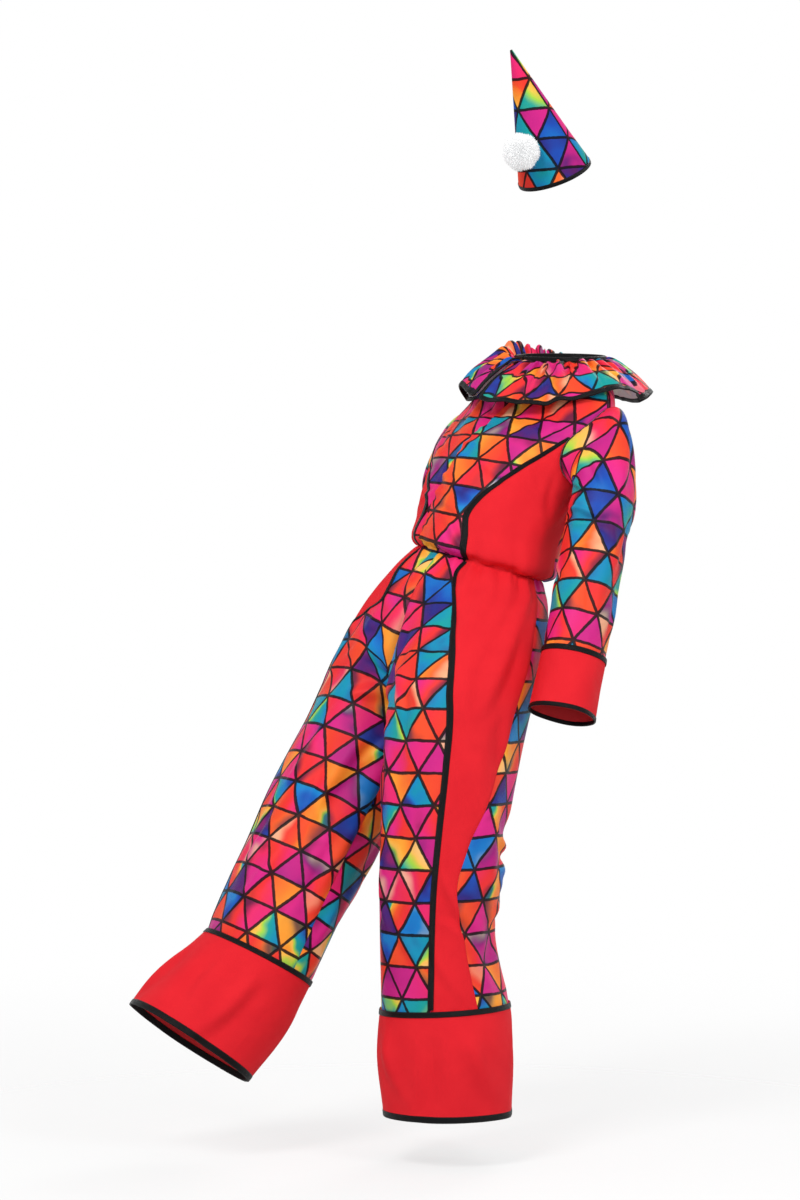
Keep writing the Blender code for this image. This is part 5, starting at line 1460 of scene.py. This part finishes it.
@dataclass(frozen=True)
class Collar:
    """The ruffle, the binding of its edge and ends, and the binding of the neck."""

    # The ruffle's soft waves: the turn of each crest, its half-width in degrees and its height at the edge.
    swells: tuple[Triple, ...] = (
        (-128.0, 22.0, 0.024), (-84.0, 10.0, -0.004), (-58.0, 14.0, -0.01),
        (-34.0, 12.0, -0.006), (-7.0, 14.0, 0.004), (22.0, 13.0, -0.006),
        (52.0, 15.0, 0.005), (84.0, 14.0, -0.005), (116.0, 16.0, 0.01),
        (148.0, 14.0, -0.005), (180.0, 15.0, 0.007), (206.0, 10.0, -0.003),
    )
    opening: float = -100.0
    gap: float = 1.2
    neck: Pair = (0.068, 0.0592)
    depth: float = 0.077
    shorter_at_edge: float = 0.06
    drop: float = 0.046
    drop_curve: float = 0.52
    seam_depth: float = 0.0057
    front_drop: float = 0.01
    shorter: Triple = (0.21, 26.0, 46.0)
    crown: Triple = (0.033, -174.0, 56.0)
    gathers: int = 28
    gather_height: float = 0.0016
    cloth_depth: float = 0.09
    pleats: Gathers = Gathers(56, 0.008, 0.034, 61)
    folds: Gathers = Gathers(25, 0.0108, 0.082, 67)
    columns: int = 720
    rows: int = 40
    print_wander: float = 2.6
    end_inset: float = 1.4
    end_corner: float = 1.2
    end_rows: int = 26
    edge_points: int = 700
    neck_points: int = 220
    neck_height: float = 0.0068
    neck_wall: float = 0.0046
    neck_low: float = -0.0066

    def plain(self, turn: Array, v: Array) -> Array:
        """The ruffle's form, from the neck, v = 0, to its edge."""
        turn, v = np.broadcast_arrays(turn, v)
        angle = np.radians(turn)
        gather = np.cos(np.radians(turn - self.opening) * self.gathers)
        gather = gather * self.gather_height * (0.2 + 1.2 * bump(v, 0.2, 0.2)) * (1 - ease(0.3, 1.0, v))
        wave = sum(height * bump(turn_between(turn, crest), 0.0, spread)
                   for crest, spread, height in self.swells)
        less, middle, spread = self.shorter
        reach = self.depth * v * (1 - self.shorter_at_edge * v)
        reach = reach * (1 - less * bump(turn_between(turn, middle), 0.0, spread))
        x = (self.neck[0] + reach) * np.cos(angle)
        y = (self.neck[1] + reach) * np.sin(angle)
        drop = self.drop * ((1 - self.drop_curve) * v + self.drop_curve * v * v)
        z = gather + wave * ease(0.05, 1.0, v) - self.seam_depth - drop
        z = z - self.front_drop * v * np.clip(-np.sin(angle), 0, 1)
        crown, middle, spread = self.crown
        z = z + crown * ease(0.0, 0.24, v) * (1 - v) * bump(turn_between(turn, middle), 0.0, spread)
        return stack(x, y, z + neck_tilt(x, y) * (1 - ease(0.0, 1.0, v)))

    def surface(self, turn: Array, v: Array) -> Array:
        """The top of the ruffle's cloth, with its gathers."""
        turn, v = np.broadcast_arrays(turn, v)
        return self.plain(turn, v) - self.pleated(turn, v)[..., None] * normals(self.plain, turn, v)

    def pleated(self, turn: Array, v: Array) -> Array:
        """Height of the ruffle's gathers, which die out towards its edge and its ends."""
        away = v * self.cloth_depth
        height = self.pleats.height(turn, away) + self.folds.height(turn, away)
        return height * ease(0.0, 3.0, np.abs(turn_between(turn, self.opening)))

    def ends(self) -> Pair:
        """Turns of the ruffle's two ends."""
        return self.opening + self.gap, self.opening + 360.0 - self.gap

    def ruffle(self, finish: Wardrobe) -> Shell:
        """The ruffle."""
        start, end = self.ends()
        grid, ways = np.meshgrid(np.linspace(start, end, self.columns + 1),
                                 shares(self.rows))
        points = self.surface(grid, ways)
        edge = lengths(self.plain(grid[-1:], ways[-1:]), 1)[0]
        radial = lengths(self.plain(grid[:, :1], ways[:, :1]), 0)
        wander = self.print_wander * self.pleated(grid, ways)
        flat = np.stack([edge - edge[-1] / 2 + np.gradient(wander, axis=1), -radial + wander], axis=-1)
        return Shell("collar_ruffle", points, -1.0, finish.printed, Held.GATHERED, wall=RUFFLE_WALL, cut=flat)

    def edge(self, finish: Wardrobe) -> Band:
        """The binding round the outer edge and up both ends of the opening."""
        start, end = self.ends()
        start, end = start + self.end_inset, end - self.end_inset
        out = 1 + 0.4 * NARROW_TAPE / self.cloth_depth
        up = np.linspace(0.05, 0.93, self.end_rows)
        round_it = np.linspace(start + self.end_corner, end - self.end_corner, self.edge_points)
        corner = np.linspace(0.0, 1.0, 7)[1:-1] * math.pi / 2
        inward, rise = self.end_corner * (1 - np.cos(corner)), up[-1] + (out - up[-1]) * np.sin(corner)
        turns = np.concatenate([np.full_like(up, start), start + inward, round_it,
                                (end - inward)[::-1], np.full_like(up, end)])
        ways = np.concatenate([up, rise, np.full_like(round_it, out), rise[::-1], up[::-1]])
        outwards = -normals(self.plain, turns, ways)
        line = self.surface(turns, ways) - RUFFLE_WALL / 2 * outwards
        way = unit(np.gradient(line, axis=0))
        down = unit(np.cross(outwards, way))
        return Band("collar_edge_binding", line, down, unit(np.cross(way, down)), NARROW_TAPE, BINDING_WALL,
                    finish.tape_narrow, closed=False)

    def neck_band(self, finish: Wardrobe) -> Band:
        """The binding of the neck."""
        start, end = self.ends()
        angle = np.radians(np.linspace(start, end, self.neck_points))
        inset = self.neck_wall / 2 - SEAM
        out = stack(np.cos(angle), np.sin(angle), np.zeros_like(angle))
        x, y = (self.neck[0] - inset) * np.cos(angle), (self.neck[1] - inset) * np.sin(angle)
        line = stack(x, y, self.neck_low + self.neck_height / 2 + neck_tilt(x, y))
        down = np.broadcast_to(np.array([0.0, 0.0, -1.0]), line.shape)
        return Band("neck_binding", line, down, out, self.neck_height, self.neck_wall, finish.tape_narrow,
                    closed=False, steps=8)

    def build(self, finish: Wardrobe) -> None:
        """Makes the collar's pieces."""
        self.ruffle(finish).build()
        self.edge(finish).build()
        self.neck_band(finish).build()


# ---- hat


@dataclass(frozen=True)
class Hat:
    """The cone hat, the binding of its base and the pompom on its front."""

    base: Triple = (0.0175, -0.028, 0.251)
    apex: Triple = (0.0315, -0.12, 0.4075)
    radius: float = 0.052
    tip_radius: float = 0.0016
    binding: float = 0.006
    rows: int = 40
    columns: int = 132
    pompom_radius: float = 0.0265
    pompom_rise: float = 0.0508
    pompom_turn: float = -74.0
    pompom_sink: float = 0.0018
    strands: int = 6800
    strand_levels: tuple[Pair, ...] = ((0.35, 0.00052), (0.7, 0.00048), (0.92, 0.00036), (1.0, 0.0001))
    strand_bend: float = 0.002
    strand_cut: Pair = (0.0005, 0.009)
    strand_reach: Pair = (0.86, 1.0)
    seed: int = 83
    flattened: float = 0.12
    uneven: float = 0.001
    core: float = 0.66
    cut: Pair = (0.3, 0.185)
    waves: tuple[Wave, ...] = (
        Wave(2, 0.0007, 20.0, 1.0), Wave(3, 0.0005, 80.0, -2.0), Wave(7, 0.0002, 0.0, 2.0))

    @property
    def height(self) -> float:
        """From the base's centre to the tip."""
        return float(np.linalg.norm(np.array(self.apex) - np.array(self.base)))

    def directions(self) -> tuple[Array, Array, Array]:
        """Directions up the cone's axis, to the wearer's left and back."""
        up = (np.array(self.apex) - np.array(self.base)) / self.height
        left = np.array([1.0, 0.0, 0.0])
        left = unit(left - up * np.dot(left, up))
        return up, left, np.cross(up, left)

    def surface(self, turn: Array, rise: Array) -> Array:
        """Points on the cone: rise runs from 0 at its base to 1 at its tip."""
        turn, rise = np.broadcast_arrays(turn, rise)
        up, left, back = self.directions()
        angle = np.radians(turn)[..., None]
        soft = drape(self.waves, turn, rise) * ease(0.0, 0.3, rise) * (1 - rise)
        radius = (self.radius + (self.tip_radius - self.radius) * rise + soft)[..., None]
        return (np.array(self.base) + (self.height * rise)[..., None] * up
                + radius * (np.cos(angle) * left + np.sin(angle) * back))

    def cone(self, finish: Wardrobe) -> Shell:
        """The cone, sewn from one sector with its seam at the back."""
        turns = np.linspace(90.0, 450.0, self.columns, endpoint=False)
        grid, ways = np.meshgrid(turns, shares(self.rows))
        points = self.surface(grid, ways)
        slant = math.hypot(self.height, self.radius)
        closed, rises = np.meshgrid(np.linspace(90.0, 450.0, self.columns + 1), ways[:, 0])
        sector = np.radians(closed - 270.0) * self.radius / slant
        away = slant * (1 - rises) + 0.004
        flat = np.stack([away * np.sin(sector), -away * np.cos(sector)], axis=-1)
        return Shell("hat_cone", points, 1.0, finish.stiffened, closed=True, cut=flat, flat=self.cut)

    def band(self, finish: Wardrobe) -> Band:
        """The binding of the base."""
        turns = np.linspace(0.0, 360.0, 180, endpoint=False)
        up, _, _ = self.directions()
        edge = self.surface(turns, np.zeros_like(turns))
        out = unit(edge - np.array(self.base))
        line = edge - CLOTH_WALL / 2 * out - (self.binding / 2 - BINDING_GRIP) * up
        down = np.broadcast_to(-up, line.shape)
        return Band("hat_edge_binding", line, down, out, self.binding, BINDING_WALL, finish.tape_hem)

    def strand_points(self, centre: Array, away: Array, draw: np.random.Generator) -> Array:
        """Points of the yarn's strands, which stand out from the pompom's centre.

        Args:
            centre: the pompom's centre.
            away: the direction in which it stands off the cone, against which it is a little flattened.
            draw: the draws.

        Returns:
            Three points round each level of each strand.
        """
        way = unit(draw.normal(size=(self.strands, 3)))
        flat = np.clip(-(way @ away), 0.0, 1.0)
        reach = self.pompom_radius * draw.uniform(*self.strand_reach, self.strands)
        reach = reach * (1 - self.flattened * flat**3) + self.uneven * np.sin(way @ np.array([7.0, 5.0, 3.0]))
        side = unit(np.cross(way, draw.normal(size=way.shape)))
        other = np.cross(way, side)
        bend = sum(across * draw.normal(0.0, self.strand_bend, (self.strands, 1)) for across in (side, other))
        points = []
        for share, size in self.strand_levels:
            core = centre + way * (reach * share)[:, None] + bend * share**3
            for angle in (0.0, 2 * math.pi / 3, 4 * math.pi / 3):
                points.append(core + size * (math.cos(angle) * side + math.sin(angle) * other))
        return np.stack(points, axis=1)

    def pompom(self, finish: Wardrobe) -> None:
        """A ball of yarn strands on a small core."""
        turn, rise = np.array(self.pompom_turn), np.array(self.pompom_rise / self.height)
        seat = self.surface(turn, rise)
        away = unit(normals(self.surface, turn, rise))
        if np.dot(away, seat - np.array(self.base)) < 0:
            away = -away
        centre = seat + (self.pompom_radius - self.pompom_sink) * away
        draw = np.random.default_rng(self.seed)
        points = self.strand_points(centre, away, draw)
        strand = ring_quads(len(self.strand_levels), 3, 3)
        quads = (strand + 3 * len(self.strand_levels) * np.arange(self.strands)[:, None, None]).reshape(-1, 4)
        cut = corner_places(len(self.strand_levels), 3)[..., ::-1].reshape(-1, 2) * self.strand_cut
        cut = (cut + draw.uniform(0.0, 1.0, (self.strands, 1, 2))).reshape(-1, 2)
        core, core_quads = ball(centre, self.pompom_radius * self.core)
        points = points.reshape(-1, 3)
        faces = np.concatenate([quads, core_quads + len(points)]).tolist()
        cut = np.concatenate([cut, np.zeros((core_quads.size, 2))])
        stand_in("pompom", cloth_mesh("pompom", np.concatenate([points, core]), faces, cut, finish.yarn),
                 "white_yarn")
        log.info("pompom: %d strands, %d faces", self.strands, len(faces))

    def build(self, finish: Wardrobe) -> None:
        """Makes the hat's pieces."""
        self.cone(finish).build()
        self.band(finish).build()
        self.pompom(finish)


def ball(centre: Array, radius: float, rows: int = 14, columns: int = 24) -> tuple[Array, Array]:
    """Points and quads of a ball whose poles are small holes, hidden in the yarn."""
    tilt = np.linspace(0.06, math.pi - 0.06, rows)[:, None]
    turn = np.linspace(0.0, 2 * math.pi, columns, endpoint=False)
    points = centre + radius * stack(np.sin(tilt) * np.cos(turn), np.sin(tilt) * np.sin(turn), np.cos(tilt))
    return points.reshape(-1, 3), ring_quads(rows, columns, columns)[:, [0, 3, 2, 1]]


# ---- the whole costume

SLEEVE_COLUMNS = "s x y z half_width half_depth"
LEG_COLUMNS = "s x y z half_width front back rise_front rise_out"
CUFF_COLUMNS = "t x y z half_width half_depth rise_front rise_out"
LEG_SCALE = (0.0015, 0.62)
CUFF_SCALE = (0.0015, 0.12)


def sleeves(trunk: Trunk) -> tuple[Sleeve, Sleeve]:
    """Both sleeves."""
    left = Stations(SLEEVE_COLUMNS, (
        (0.16, 0.165, -0.07, -0.154, 0.041, 0.047),
        (0.34, 0.177, -0.084, -0.2, 0.04, 0.044),
        (0.55, 0.182, -0.101, -0.247, 0.041, 0.044),
        (0.8, 0.194, -0.134, -0.336, 0.04, 0.042),
        (1.0, 0.2, -0.16, -0.412, 0.04, 0.042),
    ))
    right = Stations(SLEEVE_COLUMNS, (
        (0.16, 0.165, -0.052, -0.144, 0.041, 0.047),
        (0.34, 0.178, -0.044, -0.187, 0.04, 0.044),
        (0.55, 0.188, -0.035, -0.243, 0.041, 0.044),
        (0.8, 0.196, -0.05, -0.335, 0.04, 0.042),
        (1.0, 0.2, -0.07, -0.413, 0.04, 0.042),
    ))
    left_creases = Folds((0.00073, 0.35), (
        (-30, 0.16, 84, 40, 6, 2.2, 3), (18, 0.2, 96, 44, 6.5, -2.2, -3), (-62, 0.26, 72, 36, 5.5, 2.4, 4),
        (-100, 0.34, 40, 26, 5, 2.4, 6), (-86, 0.5, 12, 26, 4.8, 2.6, -8), (-74, 0.55, 4, 28, 5, -2.6, 6),
        (-66, 0.66, -22, 28, 5, 2.4, 5), (-20, 0.56, 70, 40, 6, 1.8, 3), (30, 0.62, 98, 44, 6.5, -2, -3),
        (64, 0.4, 80, 40, 6, 2, 3), (104, 0.54, 14, 28, 5.5, 2.2, 5), (126, 0.6, -20, 28, 5.5, -2.4, -5),
        (160, 0.46, 30, 28, 5.5, 2, 4), (-34, 0.84, 76, 36, 6, -1.8, 3), (52, 0.86, 104, 36, 6, 1.8, -3),
        (-130, 0.72, 30, 28, 5, 2, 5),
    ), beside=0.4)
    right_creases = replace(left_creases, rows=tuple(
        (turn + 14, 0.93 * at + 0.05, 0.9 * angle, length, width, 1.1 * depth, bend)
        for turn, at, angle, length, width, depth, bend in left_creases.rows))
    return (Sleeve(trunk, Side.LEFT, left, left_creases),
            Sleeve(trunk, Side.RIGHT, right, right_creases, cap=Gathers(28, 0.0022, 0.012, 8),
                   wrist=Gathers(23, 0.0014, 0.012, 19)))


# The leg that stands and the leg that kicks.
STANDING_LEG = TrouserLeg(
    Side.LEFT,
    Stations(LEG_COLUMNS, (
        (0.0, 0.08, -0.17, -0.29, 0.08, 0.1, 0.1, 0.1, 0.0),
        (0.2, 0.08, -0.222, -0.405, 0.08, 0.108, 0.104, 0.05, 0.0),
        (0.31, 0.082, -0.25, -0.47, 0.082, 0.106, 0.102, 0.0, 0.0),
        (0.45, 0.085, -0.272, -0.548, 0.083, 0.096, 0.094, 0.0, 0.0),
        (0.66, 0.086, -0.29, -0.672, 0.08, 0.086, 0.08, 0.0, 0.0),
        (0.84, 0.085, -0.296, -0.778, 0.077, 0.078, 0.071, 0.0, 0.0),
        (1.0, 0.085, -0.285, -0.8735, 0.083, 0.084, 0.084, -0.03, 0.045),
    )),
    Stations("s tape side", (
        (0.0, -123.0, 18.0), (0.03, -128.0, 18.0), (0.06, -120.0, 18.0), (0.1, -102.0, 18.0),
        (0.15, -80.0, 18.0), (0.2, -62.5, 20.0), (0.25, -51.5, 20.0), (0.31, -44.5, 18.0), (0.46, -41.5, 8.0),
        (0.6, -42.8, -8.0), (0.71, -44.8, -23.0), (0.86, -47.0, -14.0), (1.0, -53.0, -9.0),
    )),
    Folds(LEG_SCALE, (
        (-128, 0.3, 66, 80, 18, 5), (-98, 0.36, 78, 90, 18, -4), (-118, 0.62, 86, 90, 18, -3.5),
        (-14, 0.6, 70, 90, 17, -6.5), (14, 0.66, 76, 90, 20, 6), (56, 0.62, 12, 45, 18, -6),
        (60, 0.72, -10, 45, 18, 5), (20, 0.88, -34, 35, 14, -4), (110, 0.34, 60, 80, 20, -5.5),
        (140, 0.48, 80, 90, 20, 5),
    )),
    Folds(LEG_SCALE, (
        (-150, 0.24, 48, 50, 7.5, 3, 3), (-136, 0.2, 62, 50, 7.5, -3, -3), (-120, 0.24, 40, 50, 7.5, 3, 3),
        (-142, 0.34, 28, 46, 7, -2.8, 4), (-104, 0.28, 66, 50, 8, 2.6, 3), (-84, 0.34, 82, 60, 8.5, -2.4, -2),
        (-132, 0.5, 70, 60, 9, 2.4, 2), (-96, 0.54, 80, 60, 9, 2.2, -2), (-70, 0.6, 96, 60, 9, -2.4, 2),
        (-110, 0.74, 76, 56, 8.5, 2.6, 3), (-146, 0.72, 88, 56, 9, -2.4, -3),
        (-78, 0.84, 60, 44, 7.5, 2.4, 4), (-30, 0.34, 74, 60, 9, 2.2, 2), (-2, 0.26, 96, 60, 9, -2.6, -2),
        (10, 0.4, 84, 60, 9, 2.2, 2), (-30, 0.74, 62, 44, 7.5, 2.6, 4), (-12, 0.82, 40, 36, 7, -2.6, -4),
        (-40, 0.9, 70, 36, 7, 2, 3), (40, 0.64, 20, 40, 7, 3, 5), (58, 0.67, 4, 42, 7, -3.2, -5),
        (74, 0.7, -8, 42, 7, 3, 4), (92, 0.64, 14, 42, 7.5, -2.8, -4), (44, 0.78, -30, 40, 7, 2.8, 4),
        (84, 0.86, 50, 44, 8, -2.4, 3), (72, 0.26, 64, 60, 9, 2.8, 2), (98, 0.24, 80, 60, 9, -2.8, -2),
        (126, 0.28, 50, 54, 8.5, 3, 3), (148, 0.3, 38, 48, 8, -3, -3), (120, 0.46, 70, 60, 9, 2.4, 2),
        (158, 0.58, 84, 60, 9, -2.4, 2), (128, 0.76, 76, 56, 9, 2.4, -3), (164, 0.84, 92, 50, 8.5, 2.2, 3),
    ), beside=0.4),
    Stations(CUFF_COLUMNS, (
        (0.0, 0.085, -0.285, -0.872, 0.0845, 0.0855, -0.03, 0.045),
        (0.35, 0.085, -0.283, -0.921, 0.0905, 0.0925, -0.02, 0.03),
        (1.0, 0.085, -0.279, -1.008, 0.085, 0.087, 0.0, 0.0),
    )),
    Folds(CUFF_SCALE, (
        (-96, 0.4, 74, 50, 11, 3, 3), (-52, 0.55, 96, 50, 12, -3, -3), (-16, 0.45, 66, 46, 11, 3, 3),
        (40, 0.5, 104, 50, 12, -2.8, 3), (96, 0.45, 80, 50, 12, 3, -3), (150, 0.55, 100, 50, 12, -2.8, 3),
    ), beside=0.3),
)
KICKING_LEG = TrouserLeg(
    Side.RIGHT,
    Stations(LEG_COLUMNS, (
        (0.0, 0.08, -0.18, -0.3, 0.08, 0.096, 0.1, 0.3, 0.0),
        (0.2, 0.078, -0.22, -0.4, 0.078, 0.082, 0.104, 0.35, 0.0),
        (0.31, 0.081, -0.25, -0.462, 0.081, 0.074, 0.096, 0.42, 0.05),
        (0.45, 0.089, -0.286, -0.53, 0.081, 0.067, 0.088, 0.5, 0.1),
        (0.66, 0.104, -0.342, -0.635, 0.079, 0.068, 0.084, 0.54, 0.12),
        (0.84, 0.113, -0.392, -0.732, 0.077, 0.067, 0.073, 0.54, 0.14),
        (1.0, 0.121, -0.434, -0.815, 0.075, 0.064, 0.064, 0.54, 0.16),
    )),
    Stations("s tape side", (
        (0.0, -123.0, 18.0), (0.05, -124.0, 18.0), (0.09, -130.0, 18.0), (0.12, -127.0, 18.0),
        (0.15, -100.0, 18.5), (0.19, -70.0, 20.0), (0.31, -50.0, 28.0), (0.6, -44.0, 16.0), (1.0, -48.0, 6.0),
    )),
    Folds(LEG_SCALE, (
        (-140, 0.22, 30, 55, 14, 5), (-120, 0.28, 44, 75, 15, -5), (-110, 0.2, 36, 65, 14, 4.5),
        (-84, 0.3, 60, 80, 16, -4), (-150, 0.55, 84, 110, 16, -6), (-176, 0.6, 88, 120, 18, 5.5),
        (-60, 0.7, 74, 80, 18, -3.5), (60, 0.3, 30, 70, 20, -6), (84, 0.44, 24, 60, 20, 5.5),
        (96, 0.64, 12, 50, 20, -5.5), (130, 0.84, 80, 70, 20, -4),
    )),
    Folds(LEG_SCALE, (
        (-150, 0.16, 24, 44, 7, 3, 4), (-132, 0.18, 34, 46, 7, -3, -4), (-156, 0.26, 20, 44, 7, -2.8, 4),
        (-134, 0.33, 40, 54, 8, 2.8, 3), (-112, 0.34, 54, 60, 8.5, -2.6, -3), (-98, 0.26, 44, 52, 8, 2.6, 3),
        (-84, 0.16, 60, 50, 8, 2.4, -3), (-160, 0.46, 76, 70, 9, 2.8, 2), (-134, 0.56, 82, 80, 9, 2.6, -2),
        (-120, 0.66, 88, 80, 9.5, -2.6, 2), (-160, 0.76, 86, 70, 9, -2.4, -2), (-96, 0.56, 80, 70, 9, 2.4, 2),
        (-80, 0.74, 74, 60, 9, -2.6, 2), (-110, 0.84, 70, 50, 8.5, 2.6, 3), (-20, 0.4, 70, 60, 9, 2.4, 2),
        (0, 0.56, 90, 60, 9, -2.4, 2), (-24, 0.76, 80, 50, 8.5, 2.2, 3), (44, 0.26, 44, 54, 8.5, 3, 3),
        (78, 0.34, 26, 50, 8, -3, -4), (104, 0.42, 18, 50, 8, 3, 4), (120, 0.52, 12, 50, 8, -3, -4),
        (88, 0.56, 20, 44, 7.5, 2.8, 4), (126, 0.3, 40, 50, 8.5, 2.8, 3), (150, 0.26, 52, 48, 8, -2.8, 3),
        (110, 0.76, 60, 50, 8.5, 2.4, 3), (150, 0.7, 80, 60, 9, -2.4, 2), (166, 0.86, 90, 50, 8.5, 2.2, 3),
    ), beside=0.4),
    Stations(CUFF_COLUMNS, (
        (0.0, 0.1208, -0.4333, -0.8137, 0.0765, 0.0654, 0.54, 0.16),
        (0.45, 0.133, -0.477, -0.865, 0.083, 0.074, 0.59, 0.18),
        (1.0, 0.149, -0.524, -0.919, 0.081, 0.073, 0.69, 0.2),
    )),
    Folds(CUFF_SCALE, (
        (-150, 0.55, 86, 60, 11, 3.8, 2), (-108, 0.5, 96, 56, 12, -3.2, -2), (-60, 0.55, 78, 52, 12, 3, 3),
        (0, 0.5, 98, 52, 12, -2.8, 3), (60, 0.5, 80, 52, 12, 2.8, -3), (120, 0.5, 104, 52, 12, -3, 3),
    ), beside=0.3),
    tight=Gathers(30, 0.003, 0.016, 53),
    loose=Gathers(12, 0.0064, 0.062, 59),
    ankle=Gathers(25, 0.0018, 0.016, 71),
)


# ---- studio


@dataclass(frozen=True)
class Studio:
    """A pale floor that fades out, soft lights, a white surround and the camera."""

    floor: float = -1.078
    floor_radius: float = 3.2
    floor_fades: Pair = (0.3, 2.4)
    floor_share: float = 0.32
    middle: Pair = (0.0, -0.26)
    middle_height: float = -0.35
    camera: Triple = (3.404, -3.148, -0.34)
    aim: Triple = (-0.766, 0.643, 0.0)
    lens: float = 100.0
    # Each light's name, place, size and power.
    lights: tuple[tuple[str, Triple, float, float], ...] = (
        ("key", (1.2, -3.0, 2.5), 1.2, 82.0),
        ("side", (3.75, -0.6, 1.4), 1.2, 46.0),
        ("back", (-1.6, 2.8, 2.0), 1.6, 40.0),
    )
    # Tones of the surround, from straight below to straight above.
    tones: tuple[Pair, ...] = ((0.0, 0.34), (0.32, 0.38), (0.41, 1.0), (0.6, 1.0), (0.7, 0.5), (1.0, 0.5))

    def surround(self) -> None:
        """A white surround, darker below."""
        world = bpy.data.worlds.new("studio")
        bpy.context.scene.world = world
        world.use_nodes = True
        nodes, links = world.node_tree.nodes, world.node_tree.links
        apart, rise = nodes.new("ShaderNodeSeparateXYZ"), nodes.new("ShaderNodeMapRange")
        rise.inputs["From Min"].default_value = -1.0
        ramp = nodes.new("ShaderNodeValToRGB")
        links.new(nodes.new("ShaderNodeTexCoord").outputs["Generated"], apart.inputs[0])
        links.new(apart.outputs[2], rise.inputs["Value"])
        links.new(rise.outputs[0], ramp.inputs[0])
        links.new(ramp.outputs[0], nodes["Background"].inputs[0])
        set_ramp(ramp, [(position, (tone,) * 3) for position, tone in self.tones])

    def ground(self) -> None:
        """The floor's disc."""
        turn = np.linspace(0.0, 2 * math.pi, 96, endpoint=False)
        mesh = bpy.data.meshes.new("floor")
        ring = self.floor_radius * stack(np.cos(turn), np.sin(turn), np.zeros_like(turn))
        mesh.from_pydata(ring.tolist(), [], [tuple(range(len(turn)))])
        graph = Graph("pale_floor")
        place = graph.make("ShaderNodeTexCoord").outputs["Object"]
        far = graph.make("ShaderNodeVectorMath", (place,), operation="LENGTH")
        fade = graph.spread(far.outputs["Value"], *self.floor_fades, self.floor_share, 0.0)
        mesh.materials.append(graph.set(Alpha=fade, Base_Color=(0.9, 0.9, 0.9), Roughness=0.8))
        made = link("floor", mesh)
        made.location = (*self.middle, self.floor)

    def light(self, name: str, place: Triple, size: float, power: float) -> None:
        """One square soft light, aimed at the costume's middle."""
        lamp = bpy.data.lights.new(name, "AREA")
        lamp.energy, lamp.size = power, size
        made = link(name, lamp)
        made.location = place
        towards = Vector((*self.middle, self.middle_height)) - Vector(place)
        made.rotation_euler = towards.to_track_quat("-Z", "Y").to_euler()

    def build(self) -> None:
        """Sets up the floor, lights and camera."""
        self.surround()
        self.ground()
        for light in self.lights:
            self.light(*light)
        lens = bpy.data.cameras.new("camera")
        lens.lens = self.lens
        made = link("camera", lens)
        made.location = self.camera
        made.rotation_euler = Vector(self.aim).to_track_quat("-Z", "Y").to_euler()
        bpy.context.scene.camera = made
        bpy.context.scene.view_settings.view_transform = "Standard"


def main() -> None:
    """Builds the costume and its studio, in order."""
    logging.basicConfig(level=logging.INFO, format="%(message)s")
    finish = Wardrobe()
    trunk = Trunk()
    Bodice(trunk).build(finish)
    for sleeve in sleeves(trunk):
        sleeve.build(finish)
    for leg in (STANDING_LEG, KICKING_LEG):
        leg.build(finish)
    Collar().build(finish)
    Hat().build(finish)
    Studio().build()


if __name__ == "__main__":
    main()
